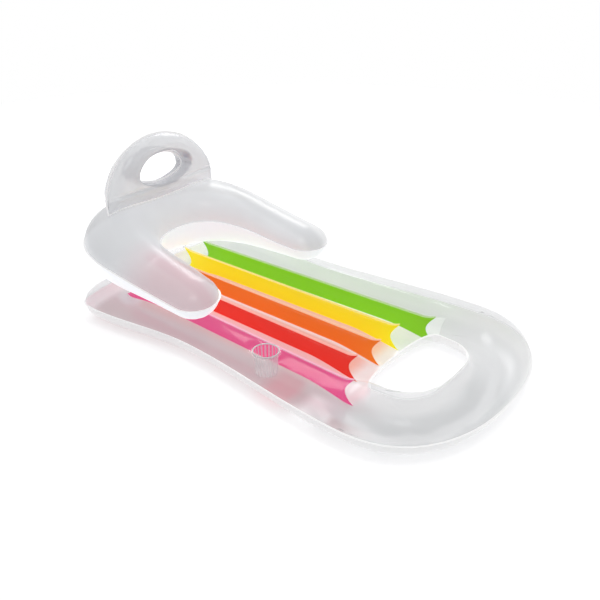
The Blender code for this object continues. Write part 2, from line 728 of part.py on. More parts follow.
def valve(prefix, sheet, place, finish, collection, helpers):
    """A valve on a film: a stem with a collar outside, a check flap on its inner end and a plug with a pull tab."""
    low, high = GAP, GAP + COLLAR_THICKNESS
    stem = turned(
        prefix + "_valve_stem",
        [
            (STEM_BORE, STEM_OUTSIDE),
            (STEM_OUTER, STEM_OUTSIDE),
            (STEM_OUTER, high),
            (COLLAR_RADIUS, high),
            (COLLAR_RADIUS, low),
            (STEM_OUTER, low),
            (STEM_OUTER, -STEM_INSIDE),
            (STEM_BORE, -STEM_INSIDE),
        ],
        True,
        finish,
        collection,
    )
    stem.matrix_world = place
    cut(sheet, prefix + "_valve_hole", STEM_OUTER + GAP, 2 * STEM_INSIDE, place, helpers)

    cap = STEM_OUTSIDE + GAP
    plug = turned(
        prefix + "_valve_plug",
        [
            (0, cap + PLUG_THICKNESS),
            (PLUG_RADIUS, cap + PLUG_THICKNESS),
            (PLUG_RADIUS, cap),
            (STEM_BORE - PLUG_FIT, cap),
            (STEM_BORE - PLUG_FIT, cap - PLUG_DEPTH),
            (0, cap - PLUG_DEPTH),
        ],
        False,
        finish,
        collection,
    )
    plug.matrix_world = place
    add_tab(plug, prefix + "_plug_tab", place, cap, helpers)

    flap_bm = bmesh.new()
    bmesh.ops.create_cone(
        flap_bm,
        cap_ends=True,
        segments=VALVE_STEPS,
        radius1=FLAP_RADIUS,
        radius2=FLAP_RADIUS,
        depth=FLAP_THICKNESS,
        matrix=Matrix.Translation((0, -FLAP_RADIUS, -FLAP_THICKNESS / 2)),
    )
    flap = new_object(prefix + "_valve_flap", flap_bm, finish, collection)
    flap.matrix_world = place @ Matrix.Translation((0, FLAP_RADIUS, -STEM_INSIDE - GAP))
    return stem, plug, flap


def add_tab(plug, name, place, cap, helpers):
    """Joins the pull tab to the plug's cap."""
    bm = bmesh.new()
    reach = PLUG_RADIUS + TAB_LENGTH
    size = Matrix.Diagonal((reach, TAB_WIDTH, PLUG_THICKNESS / 2, 1))
    middle = Matrix.Translation((reach / 2, 0, cap + PLUG_THICKNESS / 2))
    bmesh.ops.create_cube(bm, size=1, matrix=middle @ size)
    combine(plug, "UNION", name, bm, place, helpers)


def frame_on(tree, start, toward):
    """A frame where a line strikes a sheet: +Z runs out of the film, +X lies level, and a collar clears the film."""
    place, normal = tree.ray_cast(start, toward)[:2]
    across = UP.cross(normal).normalized()
    upward = normal.cross(across)
    lift = 0
    for step in range(VALVE_STEPS):
        angle = 2 * math.pi * step / VALVE_STEPS
        rim = place + (across * math.cos(angle) + upward * math.sin(angle)) * COLLAR_RADIUS
        for point in (rim, (rim + place) / 2):
            film = tree.ray_cast(point + normal * COLLAR_RADIUS, -normal)[0]
            lift = max(lift, (film - place).dot(normal))
    turn = Matrix((across, upward, normal)).transposed().to_4x4()
    return Matrix.Translation(place + normal * lift) @ turn


def pivot(name, place, collection, parent=None):
    made = bpy.data.objects.new(name, None)
    collection.objects.link(made)
    made.location = place
    bpy.context.view_layer.update()
    if parent:
        hang(made, parent)
    return made


def hang(piece, parent):
    """Parents a piece where it stands."""
    bpy.context.view_layer.update()
    piece.parent = parent
    piece.matrix_parent_inverse = parent.matrix_world.inverted()


def main():
    for obj in list(bpy.data.objects):
        bpy.data.objects.remove(obj, do_unlink=True)
    chair = bpy.data.collections.new("inflatable_pool_chair")
    helpers = bpy.data.collections.new("cutters")
    bpy.context.scene.collection.children.link(chair)
    bpy.context.scene.collection.children.link(helpers)
    helpers.hide_render = True
    finishes = {name: material(name) for name in COLOURS}
    clear = finishes["clear_vinyl"]

    mat_top = mat_sheet("mat_top_sheet", True, clear, chair)
    mat_bottom = mat_sheet("mat_bottom_sheet", False, clear, chair)
    trees = surface(mat_top), surface(mat_bottom)
    webs = (
        ("web_green", 1, outer_web_x, OUTER_WEB_FOOT_Y),
        ("web_yellow", 1, inner_web_x, INNER_WEB_FOOT_Y),
        ("web_orange", 0, inner_web_x, MIDDLE_WEB_FOOT_Y),
        ("web_red", -1, inner_web_x, INNER_WEB_FOOT_Y),
        ("web_pink", -1, outer_web_x, OUTER_WEB_FOOT_Y),
    )
    for name, side, place_x, foot_y in webs:
        web(name, side, place_x, foot_y, trees, finishes[name], chair)
    cup_x, cup_y = SEAM_TO_CUP - side_half_width(CUP_Y), CUP_Y - MIDDLE_Y
    rim = height_of(trees[0], cup_x, cup_y) - CUP_RECESS
    cup_holder(trees[0], cup_x, cup_y, rim, clear, chair)
    cup_ring(cup_x, cup_y, rim, clear, chair)
    over_cup = Matrix.Translation((cup_x, cup_y, rim))
    cut(mat_top, "cup_hole", CUP_HOLE_RADIUS, 2 * SEAM_HEIGHT, over_cup, helpers)

    back_top = backrest_sheet("backrest_top_sheet", True, clear, chair)
    back_bottom = backrest_sheet("backrest_bottom_sheet", False, clear, chair)
    back_tree = surface(back_top)
    head_front = headrest_sheet("headrest_front_sheet", True, back_tree, clear, chair)
    head_back = headrest_sheet("headrest_back_sheet", False, back_tree, clear, chair)

    finish = finishes["valve_vinyl"]
    behind = MAT_LENGTH
    mat_seat = Vector((MAT_VALVE_X, behind, SEAM_HEIGHT - MAT_VALVE_DROP))
    back_seat = Vector((BACK_VALVE_X, behind, BACK_BOTTOM + REAR_SEAM_RISE + BACK_VALVE_RISE))
    base = height_of(back_tree, 0, HEADREST_Y - MIDDLE_Y)
    head_seat = Vector((HEADREST_VALVE_X, behind, base + HEADREST_VALVE_RISE))
    forward = Vector((0, -1, 0))
    valve("mat", mat_bottom, frame_on(trees[1], mat_seat, forward), finish, chair, helpers)
    back_valve = valve("backrest", back_top, frame_on(back_tree, back_seat, forward), finish, chair, helpers)
    head_frame = frame_on(surface(head_back), head_seat, forward)
    head_valve = valve("headrest", head_back, head_frame, finish, chair, helpers)

    backrest = pivot("backrest_pivot", (0, BACKREST_PIVOT_Y - MIDDLE_Y, BACK_BOTTOM), chair)
    headrest = pivot("headrest_pivot", (0, HEADREST_Y - MIDDLE_Y, base), chair, backrest)
    for piece in (back_top, back_bottom, *back_valve):
        hang(piece, backrest)
    for piece in (head_front, head_back, *head_valve):
        hang(piece, headrest)


if __name__ == "__main__":
    main()
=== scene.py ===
"""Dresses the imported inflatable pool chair: air chambers of clear and white vinyl film with welded edges,
five coloured webs, a fluted cup holder and its valves, on a white studio floor.

Metres, +Z up. The foot end points to -Y and the sitter's right is -X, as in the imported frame."""

import math

import bmesh
import bpy
from bpy.props import FloatProperty, IntProperty, PointerProperty, StringProperty
from mathutils import Matrix, Vector, noise
from mathutils.bvhtree import BVHTree
from mathutils.kdtree import KDTree


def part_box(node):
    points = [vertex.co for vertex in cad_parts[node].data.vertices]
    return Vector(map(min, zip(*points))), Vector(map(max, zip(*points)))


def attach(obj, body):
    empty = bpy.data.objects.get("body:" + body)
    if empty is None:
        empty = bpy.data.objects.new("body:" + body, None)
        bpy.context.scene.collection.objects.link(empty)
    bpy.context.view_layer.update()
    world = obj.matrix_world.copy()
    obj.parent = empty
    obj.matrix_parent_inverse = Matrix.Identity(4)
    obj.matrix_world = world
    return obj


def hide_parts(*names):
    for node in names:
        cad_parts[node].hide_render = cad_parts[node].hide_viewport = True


bl_info = {
    "name": "Inflatable Pool Chair",
    "version": (1, 0, 0),
    "blender": (4, 5, 0),
    "location": "View3D > Sidebar > Pool Chair",
    "description": "Builds the visible pieces of an inflatable pool chair round its packed frame",
    "category": "Object",
}

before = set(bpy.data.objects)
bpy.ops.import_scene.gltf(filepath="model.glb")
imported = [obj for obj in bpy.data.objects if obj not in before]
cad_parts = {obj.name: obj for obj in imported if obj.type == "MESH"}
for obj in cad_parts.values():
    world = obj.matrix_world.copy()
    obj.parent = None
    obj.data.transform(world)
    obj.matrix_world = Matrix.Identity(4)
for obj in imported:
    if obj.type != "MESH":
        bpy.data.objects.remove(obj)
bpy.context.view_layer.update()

# Film and welds, as in the frame
FILM = 0.00045
GAP = 0.0003
WELD_WIDTH = 0.006
SEAM_HALF = GAP / 2 + FILM
SHARP_ANGLE = math.radians(40)
MERGE_DISTANCE = GAP / 30
UP = Vector((0, 0, 1))

# Mat: its ends come from the frame, and places along Y are measured from the middle of the mat
MAT_LOW, MAT_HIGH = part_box("mat_top_sheet")
MAT_MIDDLE = Vector((0, (MAT_LOW.y + MAT_HIGH.y) / 2, 0))
MAT_END = (MAT_HIGH.y - MAT_LOW.y) / 2 - WELD_WIDTH
SEAM_HEIGHT = (MAT_LOW.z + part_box("mat_bottom_sheet")[1].z) / 2
FOOT_HALF_WIDTH = 0.417
WAIST_HALF_WIDTH = 0.366
HEAD_HALF_WIDTH = 0.412
FOOT_END_TO_WIDEST = 0.31
HEAD_END_TO_WAIST = 0.53
HEAD_END_TO_WIDEST = 0.11
FOOT_WIDEST_Y = FOOT_END_TO_WIDEST - MAT_END
WAIST_Y = MAT_END - HEAD_END_TO_WAIST
HEAD_WIDEST_Y = MAT_END - HEAD_END_TO_WIDEST
FOOT_CORNER_POWER = 2.3
HEAD_CORNER_POWER = 3.6
MAT_CROWN = 0.058
FLOOR_FLAT = 0.0005
MAT_SAG = SEAM_HEIGHT - SEAM_HALF + FLOOR_FLAT
EDGE_RADIUS = 0.07
FOOT_EDGE_RADIUS = 0.088
FOOT_SWELL = 0.005
GROOVE_DEPTH = 0.036
GROOVE_REACH = 0.06
GROOVE_RUN = 0.04
FLOOR_GROOVE_DEPTH = 0.028
FLOOR_GROOVE_REACH = 0.05
FLOOR_GROOVE_RUN = 0.2
GROOVE_FADE = 0.06

# Foot opening
OPENING_HALF_WIDTH = 0.200
FOOT_END_TO_CORNERS = 0.345
OPENING_CORNER_Y = FOOT_END_TO_CORNERS - MAT_END
OPENING_TO_FOOT = 0.161
OPENING_TO_HEAD = 0.048
OPENING_FOOT_POWER = 3.0
OPENING_HEAD_POWER = 2.3

# Webs: half spacings at the foot end and the head end, and where each pair ends
FOOT_SEAM_TO_WEB = 0.181
HEAD_SEAM_TO_WEB = 0.210
CORNERS_TO_MIDDLE_WEB = 0.102
CORNERS_TO_INNER_WEB = 0.107
CORNERS_TO_OUTER_WEB = 0.039
HEAD_END_TO_WEBS = 0.033
INNER_WEB_X = (0.121, 0.104)
OUTER_WEB_X = (FOOT_HALF_WIDTH - FOOT_SEAM_TO_WEB, HEAD_HALF_WIDTH - HEAD_SEAM_TO_WEB)
MIDDLE_WEB_FOOT_Y = OPENING_CORNER_Y + CORNERS_TO_MIDDLE_WEB
INNER_WEB_FOOT_Y = OPENING_CORNER_Y + CORNERS_TO_INNER_WEB
OUTER_WEB_FOOT_Y = OPENING_CORNER_Y + CORNERS_TO_OUTER_WEB
WEB_HEAD_Y = MAT_END - HEAD_END_TO_WEBS
WEB_FILM = 0.0004
WEB_GAP = 0.0007
WEB_END_HOLLOW = 0.032
WEB_TAB = 0.0045
WEB_TAB_ROWS = 2
WEB_RISERS = 12
WEB_COLUMNS = 120
WEB_BOW = 0.0016
WEB_BOW_WAVES = (9, 11, 2)

# Strips of the mat's net from the middle out: two tubes, the run to the side tube's crown, and its round edge
TUBE_STRIPS = 4
CROWN_STRIPS = 2
EDGE_STRIPS = 3
HALF_STRIPS = 2 * TUBE_STRIPS + CROWN_STRIPS + EDGE_STRIPS
OPENING_STRIP = TUBE_STRIPS + 3

# Rows of each net for one step of its fineness, and how closely they lie towards both ends
FOOT_ROWS = 4
HEAD_ROWS = 18
BACK_ROWS = 8
HEADREST_LOWER_ROWS = 6
HEADREST_UPPER_ROWS = 5
FOOT_BUNCH_SHARES = (0.4, 0.42)
HEAD_BUNCH_SHARES = (0.1, 0.06)
ARCH_BUNCH_SHARES = (0.4, 0.36)

# Folds that run in from a weld: the gain brings the strongest one to about the full pucker height
PUCKER_GAIN = 5.2
PUCKER_FADE = 1.5
FINE_RIPPLE_SHARE = 0.5
FINE_RIPPLE_RATE = 2.1

# Backrest: lengths along Y are measured from its rear seam
BACK_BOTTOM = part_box("backrest_bottom_sheet")[0].z
BACK_REAR_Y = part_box("backrest_top_sheet")[1].y - WELD_WIDTH
BACK_LENGTH = 0.699
BACK_HALF_WIDTH = 0.385
BACK_CORNER_LENGTH = 0.346
BACK_CORNER_POWER = 2.84
BACK_THICKNESS = 0.230
LAP_HALF_WIDTH = 0.190
LAP_CORNER_LENGTH = 0.251
LAP_CORNER_POWER = 2.4
ARM_TOE_IN = 0.0075
ARM_SPLAY = 0.025
ARM_TIP_ROUND = 0.067
ARM_SEAM_RISE = 0.062
REAR_SEAM_RISE = 0.144
ARM_CROWN = 0.058
REAR_CROWN = 0.112
ARM_SAG = 0.064
REAR_SAG = 0.146
BACK_SHOULDER_Y = BACK_REAR_Y - BACK_CORNER_LENGTH
LAP_REAR_Y = BACK_REAR_Y - BACK_THICKNESS
LAP_SHOULDER_Y = LAP_REAR_Y - LAP_CORNER_LENGTH
ARM_TIP_Y = BACK_REAR_Y - BACK_LENGTH
CORNER_RINGS = 6
ARM_RINGS = 7
LAST_RING = CORNER_RINGS + ARM_RINGS

# Headrest: heights are measured up its own face
REAR_TO_HEADREST = 0.163
HEADREST_Y = BACK_REAR_Y - REAR_TO_HEADREST
HEADREST_HALF_WIDTH = 0.2525
HEADREST_RISE = 0.213
HEADREST_STRAIGHT = 0.017
HEADREST_LEAN = math.radians(6)
HEADREST_SEAT_GAP = 0.0009
HEADREST_CROWN = 0.045
HEADREST_EDGE_RADIUS = 0.05
HEADREST_FOOT_RADIUS = 0.16
HEADREST_FOOT_REACH = 0.06
HOLE_HALF_WIDTH = 0.116
HOLE_HALF_HEIGHT = 0.054
HOLE_RISE = 0.112
CREASE_RISE = 0.056
CREASE_DEPTH = 0.014
CREASE_REACH = 0.016
CREASE_SIDE_SHARE = 0.6
CHEEK_TOP_SHARE = 0.5
HOLE_WALL = 0.014
HOLE_LIP = 0.05
HOLE_LIP_POWER = 3.2
HOLE_LIP_SWELL = 0.014
HOLE_COLUMNS = 4
SIDE_COLUMNS = 4

# Cup holder
RING_LOW, RING_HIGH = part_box("cup_ring")
CUP_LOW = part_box("cup_holder")[0]
CUP_CENTRE = Vector(((RING_LOW.x + RING_HIGH.x) / 2, (RING_LOW.y + RING_HIGH.y) / 2, 0))
RIM_HEIGHT = RING_LOW.z - GAP
RING_RADIUS = (RING_HIGH.z - RING_LOW.z) / 2
RING_OUTSIDE = (RING_HIGH.x - RING_LOW.x) / 2
CUP_MOUTH_RADIUS = 0.0385
CUP_FOOT_RADIUS = 0.0358
CUP_LIP_RADIUS = 0.0475
CUP_WALL = 0.0012
CUP_FLOOR_HEIGHT = CUP_LOW.z + CUP_WALL
CUP_CORNER = 0.003
CUP_FLUTES = 20
CUP_FLUTE_DEPTH = 0.0016
CUP_WALL_ROWS = 10
CUP_CORNER_ROWS = 3
CUP_FLUTE_END_SHARE = 0.6
CUP_FLUTE_CORNER_SHARE = 0.3
CUP_FLOOR_SHARES = (0.6, 0.2, 0)
CUP_RIB_EDGE = -0.2
RIM_SIDES = 20
RIM_STEPS = 120

# Slow unevenness of a blown-up film: the scales of its bumps and of its cloudiness, and how far these go. The
# last two set the noise in the painted fold shade round the foot opening
BUMP_SCALE = 22
BUMP_STRENGTH = 0.35
BUMP_HEIGHT = 0.0024
CLOUD_SCALE = 9
CLOUD_DARKEST = 0.92
CLOUD_LIGHTEST = 1.03
FOLD_SHADE_NOISE_SCALE = 6
FOLD_SHADE_UNEVENNESS = 0.4

# Studio, and the camera as matched to the photograph
FLOOR_RADIUS = 4
FLOOR_STEPS = 96
FLOOR_DROP = 0.0005
FLOOR_GLOW = 0.36
LIGHT_TARGET = (0, 0, 0.1)
BRIGHT_SIDE = (0.42, 0.38, 0.82)
CAMERA_AZIMUTH = math.radians(-50.93)
CAMERA_ELEVATION = math.radians(28.49)
CAMERA_DISTANCE = 2.584
CAMERA_TARGET = Vector((0.0418, 0.0078, 0.1062))
FOCAL_PIXELS = 737
PHOTO_PIXELS = 600
SENSOR_WIDTH = 36
VIEW_DEPTH = 60

# Slots of a chamber's mesh
CLEAR, WINDOW, WHITE, WELD, POCKET = range(5)


def smooth(share):
    share = min(max(share, 0), 1)
    return share * share * (3 - 2 * share)


def mix(low, high, share):
    return low + (high - low) * share


def power_arc(share, power):
    """Height of a rounded corner of the given power, 1 at its middle and 0 at its end."""
    return (1 - min(abs(share), 1) ** power) ** (1 / power)


def dome(distance, radius, power=2):
    """How full a chamber is at a distance from its seam: 0 on it, and 1 from the radius on."""
    short = 1 - min(max(distance, 0) / radius, 1)
    return (1 - short**power) ** (1 / power)


def linear(code, alpha=1):
    """A colour for Blender from its sRGB hex code."""
    channels = [int(code[place : place + 2], 16) / 255 for place in (1, 3, 5)]
    flat = [value / 12.92 if value <= 0.04045 else ((value + 0.055) / 1.055) ** 2.4 for value in channels]
    return (*flat, alpha)


class FilmSizes(bpy.types.PropertyGroup):
    """Detail of the film that all air chambers share."""

    pucker_height: FloatProperty(
        name="Pucker Height",
        description="How far the film stands up between the folds that run in from a weld",
        default=0.0011,
        unit="LENGTH",
    )
    pucker_pitch: FloatProperty(
        name="Pucker Pitch",
        description="Spacing of the folds that run in from a weld",
        default=0.021,
        unit="LENGTH",
    )
    weld_wave: FloatProperty(
        name="Weld Wave",
        description="How far the free edge of a weld waves up and down",
        default=0.0012,
        unit="LENGTH",
    )
    cell: IntProperty(name="Net Fineness", description="Faces per strip of a chamber's net", default=6, min=1)


class CupSizes(bpy.types.PropertyGroup):
    """The cup holder and the dip of the film round it."""

    dip_radius: FloatProperty(
        name="Dip Radius",
        description="Where the film starts to dip towards the cup's rim",
        default=0.078,
        unit="LENGTH",
    )
    steps: IntProperty(name="Steps", description="Faces round the cup", default=160, min=8)


def veil(name, default, description):
    return FloatProperty(name=name, description=description, default=default, min=0, max=1, subtype="FACTOR")


def tint(name, default, description):
    return StringProperty(name=name, description=description, default=default)


class Finishes(bpy.types.PropertyGroup):
    """Colours as sRGB codes, and how much of what is behind it each film hides."""

    mat_veil: veil("Mat Veil", 0.22, "How much the mat's upper film hides")
    window_veil: veil("Window Veil", 0.04, "How much the film over the coloured webs hides")
    back_veil: veil("Backrest Veil", 0.66, "How much the backrest's upper film hides")
    head_veil: veil("Headrest Veil", 0.55, "How much the headrest's films hide")
    white_veil: veil("White Veil", 0.88, "How much the mat's white film hides")
    back_white_veil: veil("Backrest White Veil", 0.97, "How much the backrest's white film hides")
    wall_veil: veil("Hole Veil", 0.8, "How much the headrest's films hide round its hole")
    weld_veil: veil("Weld Veil", 0.9, "How much the welded edges hide")
    pocket_veil: veil("Cup Pocket Veil", 0.02, "How much the film beside the cup hides")
    cup_veil: veil("Cup Veil", 0.16, "How much the cup's flutes and floor hide")
    rib_veil: veil("Cup Rib Veil", 0.46, "How much the cup's ribs hide")
    rim_veil: veil("Cup Rim Veil", 0.85, "How much the cup's rolled rim hides")
    tab_veil: veil("Web Tab Veil", 0.85, "How much the webs' welded tabs hide")
    valve_veil: veil("Valve Veil", 0.5, "How much the blue valves hide")
    mat_valve_veil: veil("Mat Valve Veil", 0.16, "How much the mat's clear valve hides")
    mat_clear: tint("Mat Film", "#B4B6BA", "Tint of the mat's upper film")
    # Painted light and shade: bounced light from the pink web and the near tube's shade, painted on the lower
    # film
    mat_pink_bounce: tint("Mat Pink Bounce", "#CBB3B5", "Colour that the pink web lends the mat's lower film beside it")
    # Painted shade: the lower film a little greyer where it lies on the floor, taking back part of its
    # painted glow there
    floor: tint("Mat Floor", "#EEEFF0", "Colour of the lower film where it lies on the floor")
    # Painted bounce light: the colours that neighbouring webs throw on the lower film between them
    peach_bounce: tint("Peach Bounce", "#F2B583", "Colour of the lower film between the yellow and the orange web")
    coral_bounce: tint("Coral Bounce", "#EFA284", "Colour of the lower film between the orange and the red web")
    rose_bounce: tint("Rose Bounce", "#EDAFAC", "Colour of the lower film between the red and the pink web")
    # Painted shade: grey rings of shaded folds round the foot opening, also used as the painted shadow of the
    # backrest beyond the webs' head ends
    fold_shade: tint("Fold Shade", "#D8DADB", "Colour of the lower film's shaded folds round the foot opening")
    # Painted reflection: the pink web's light on the film under the cup
    cup_pink_reflection: tint("Cup Pink Reflection", "#D98A96", "Colour that the pink web lends the film under the cup")
    back_clear: tint("Backrest Film", "#F1F2F3", "Tint of the backrest's upper film")
    # Painted shade: the backrest's upper film darker towards the sitter's right
    back_shade: tint("Backrest Shade", "#D9DADC", "Tint of the backrest's upper film on the sitter's right")
    # Painted light: the pink of the webs' light coming up through the right arm
    back_web_light: tint("Backrest Web Light", "#DAA8B0", "Tint of the right arm, over the pink and red webs")
    # Painted shade: a grey streak along the crown of the left arm
    arm_streak_shade: tint("Arm Streak Shade", "#D9DADB", "Tint along the crown of the left arm")
    # Painted shade with painted red web light along the crown of the right arm
    back_streak_shade: tint("Backrest Streak Shade", "#D69CA6", "Tint along the crown of the right arm, over the red web")
    back_white: tint("Backrest White Film", "#F5F7FB", "Colour of the backrest's lower film")
    head_clear: tint("Headrest Film", "#EEEFF2", "Tint of the headrest's films")
    # Painted shade: a darker ring where the hole's inner wall lies in shade
    head_hole_shade: tint("Headrest Hole Shade", "#D3D4DA", "Tint of the headrest's films round its hole")
    white: tint("White Film", "#FFFFFF", "Colour of the white film")
    cup: tint("Cup", "#F6F4F6", "Tint of the moulded cup and its rim")
    valve_blue: tint("Blue Valve", "#B9D2E6", "Tint of the backrest's and the headrest's valves")
    valve_clear: tint("Clear Valve", "#F2F4F6", "Tint of the mat's valve")
    paper: tint("Paper", "#F5F5F6", "Colour of the studio paper")
    green: tint("Green", "#82CA12", "Colour of the green web")
    yellow: tint("Yellow", "#F6F600", "Colour of the yellow web")
    orange: tint("Orange", "#EE7D08", "Colour of the orange web")
    red: tint("Red", "#E22C12", "Colour of the red web")
    pink: tint("Pink", "#FF248C", "Colour of the pink web")
    # The welded tabs are real; their pale tints are painted highlights along the welds
    green_tab: tint("Green Tab", "#CBEBA0", "Colour of the green web's welded tabs")
    yellow_tab: tint("Yellow Tab", "#FFF08A", "Colour of the yellow web's welded tabs")
    orange_tab: tint("Orange Tab", "#FFCFA8", "Colour of the orange web's welded tabs")
    red_tab: tint("Red Tab", "#FFC0B0", "Colour of the red web's welded tabs")
    pink_tab: tint("Pink Tab", "#FFC4DA", "Colour of the pink web's welded tabs")


class PoolChairSettings(bpy.types.PropertyGroup):
    """All sizes and colours that a user would change."""

    film: PointerProperty(type=FilmSizes)
    cup: PointerProperty(type=CupSizes)
    finishes: PointerProperty(type=Finishes)


def settings():
    return bpy.context.scene.pool_chair


# Meshes


def net(bm, columns, rows, place):
    """A net of faces whose point at (u, v), each from 0 to 1, goes to place(u, v)."""
    made = bmesh.ops.create_grid(bm, x_segments=columns, y_segments=rows, size=1)
    for vert in made["verts"]:
        vert.co = place((vert.co.x + 1) / 2, (vert.co.y + 1) / 2)


def merge(bm):
    """Joins the points of neighbouring nets that lie on one another."""
    bmesh.ops.remove_doubles(bm, verts=bm.verts, dist=MERGE_DISTANCE)


def face_towards(bm, direction):
    """Turns an open sheet over if most of it looks away from the direction."""
    bm.normal_update()
    if sum(face.normal.dot(direction) * face.calc_area() for face in bm.faces) < 0:
        bmesh.ops.reverse_faces(bm, faces=bm.faces)
        bm.normal_update()


class Seam:
    """The open edges of a net, to find the nearest point of the seam and how far off it is."""

    SPACING = 0.002

    def __init__(self, bm):
        points = []
        for edge in bm.edges:
            if edge.is_boundary:
                start, end = (vert.co for vert in edge.verts)
                steps = max(math.ceil((end - start).length / self.SPACING), 1)
                points += [start.lerp(end, step / steps) for step in range(steps)]
        self.tree = KDTree(len(points))
        for index, point in enumerate(points):
            self.tree.insert(point, index)
        self.tree.balance()

    def nearest(self, point):
        place, _, distance = self.tree.find(point)
        return place, distance


def ripple(point):
    """A smooth wave along a seam, between about -1 and 1, the same for every net with a point there."""
    scaled = point / settings().film.pucker_pitch
    return noise.noise(scaled) + FINE_RIPPLE_SHARE * noise.noise(FINE_RIPPLE_RATE * scaled)


def pucker(bm, seam, fullness):
    """Lifts the film between folds that run in from the seam and die out towards the crown."""
    height = settings().film.pucker_height
    bm.normal_update()
    moves = []
    for vert in bm.verts:
        if vert.is_boundary:
            continue
        full = fullness[vert]
        strength = PUCKER_GAIN * full * (1 - full) ** PUCKER_FADE
        if strength > 0:
            moves.append((vert, vert.normal * height * strength * ripple(seam.nearest(vert.co)[0])))
    for vert, move in moves:
        vert.co += move


def add_weld(bm, up, side):
    """Runs the welded edge out from every open edge, down to the middle of the weld at its own free edge."""
    edges = [edge for edge in bm.edges if edge.is_boundary]
    outward = {}
    for edge in edges:
        loop = edge.link_loops[0]
        along = loop.link_loop_next.vert.co - loop.vert.co
        across = along.cross(up).normalized()
        for vert in edge.verts:
            outward[vert] = outward.get(vert, Vector()) + across
    grown = bmesh.ops.extrude_edge_only(bm, edges=edges)["geom"]
    wave = settings().film.weld_wave
    for item in grown:
        if isinstance(item, bmesh.types.BMFace):
            item.material_index = WELD
        if isinstance(item, bmesh.types.BMVert):
            others = (edge.other_vert(item) for edge in item.link_edges)
            origin = next(vert for vert in others if vert in outward)
            middle = origin.co - up * SEAM_HALF
            rise = up * side * wave * ripple(middle)
            item.co = middle + outward[origin].normalized() * WELD_WIDTH + rise


def join_sheets(name, sheets, seat=None):
    """One closed chamber from its two open sheets, which meet at the free edge of the weld."""
    joined = bmesh.new()
    for sheet in sheets:
        mesh = bpy.data.meshes.new(name)
        sheet.to_mesh(mesh)
        sheet.free()
        joined.from_mesh(mesh)
        bpy.data.meshes.remove(mesh)
    free_edge = [vert for vert in joined.verts if vert.is_boundary]
    bmesh.ops.remove_doubles(joined, verts=free_edge, dist=GAP / 4)
    bmesh.ops.recalc_face_normals(joined, faces=joined.faces)
    if seat:
        bmesh.ops.transform(joined, matrix=seat, verts=joined.verts)
    return joined


def new_piece(name, bm, finishes, body):
    """A finished piece at the origin that rides on its body."""
    mesh = bpy.data.meshes.new(name)
    bm.to_mesh(mesh)
    bm.free()
    for finish in finishes:
        mesh.materials.append(finish)
    mesh.shade_smooth()
    mesh.set_sharp_from_angle(angle=SHARP_ANGLE)
    piece = bpy.data.objects.new(name, mesh)
    bpy.context.scene.collection.objects.link(piece)
    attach(piece, body)
    return piece


def chamber_tree(name):
    """The film of a finished chamber, to find heights on."""
    bm = bmesh.new()
    bm.from_mesh(bpy.data.objects[name].data)
    tree = BVHTree.FromBMesh(bm)
    bm.free()
    return tree


def height_of(tree, x, y, from_above=True):
    start = Vector((x, y, 2 if from_above else -2))
    return tree.ray_cast(start, -UP if from_above else UP)[0].z


# Mat


def side_half_width(y):
    if y < WAIST_Y:
        return mix(WAIST_HALF_WIDTH, FOOT_HALF_WIDTH, smooth((WAIST_Y - y) / (WAIST_Y - FOOT_WIDEST_Y)))
    return mix(WAIST_HALF_WIDTH, HEAD_HALF_WIDTH, smooth((y - WAIST_Y) / (HEAD_WIDEST_Y - WAIST_Y)))


def web_x(pair, y):
    """Where a web of the inner or outer pair lies at y, between its places at the foot and at the head."""
    share = (y - OUTER_WEB_FOOT_Y) / (WEB_HEAD_Y - OUTER_WEB_FOOT_Y)
    return mix(*pair, min(max(share, 0), 1))


def strip_x(strip, y):
    """Where a strip of the mat's net lies at y. The middle, inner and outer webs lie on strips 0, 4 and 8."""
    inner, outer, seam = web_x(INNER_WEB_X, y), web_x(OUTER_WEB_X, y), side_half_width(y)
    place = abs(strip)
    if place <= TUBE_STRIPS:
        x = inner * place / TUBE_STRIPS
    elif place <= 2 * TUBE_STRIPS:
        near = smooth((MIDDLE_WEB_FOOT_Y - y) / (MIDDLE_WEB_FOOT_Y - OPENING_CORNER_Y))
        even = (OPENING_STRIP - TUBE_STRIPS) / TUBE_STRIPS
        corner = mix(even, (OPENING_HALF_WIDTH - inner) / (outer - inner), near)
        if place <= OPENING_STRIP:
            share = corner * (place - TUBE_STRIPS) / (OPENING_STRIP - TUBE_STRIPS)
        else:
            share = mix(corner, 1, (place - OPENING_STRIP) / (2 * TUBE_STRIPS - OPENING_STRIP))
        x = mix(inner, outer, share)
    elif place <= 2 * TUBE_STRIPS + CROWN_STRIPS:
        x = mix(outer, seam - EDGE_RADIUS, (place - 2 * TUBE_STRIPS) / CROWN_STRIPS)
    else:
        angle = math.pi / 2 * (HALF_STRIPS - place) / EDGE_STRIPS
        x = seam - EDGE_RADIUS * (1 - math.cos(angle))
    return math.copysign(x, strip)


def end_y(strip, foot):
    """Where a strip meets the rounded end of the mat."""
    widest, end, power = (
        (FOOT_WIDEST_Y, -MAT_END, FOOT_CORNER_POWER) if foot else (HEAD_WIDEST_Y, MAT_END, HEAD_CORNER_POWER)
    )
    return mix(widest, end, power_arc(strip_x(strip, widest) / side_half_width(widest), power))


def opening_y(strip, foot):
    """The edge of the foot opening on a strip, or the line through its corners beside it."""
    if abs(strip) >= OPENING_STRIP:
        return OPENING_CORNER_Y
    share = strip_x(strip, OPENING_CORNER_Y) / OPENING_HALF_WIDTH
    if foot:
        return OPENING_CORNER_Y - OPENING_TO_FOOT * power_arc(share, OPENING_FOOT_POWER)
    return OPENING_CORNER_Y + OPENING_TO_HEAD * power_arc(share, OPENING_HEAD_POWER)


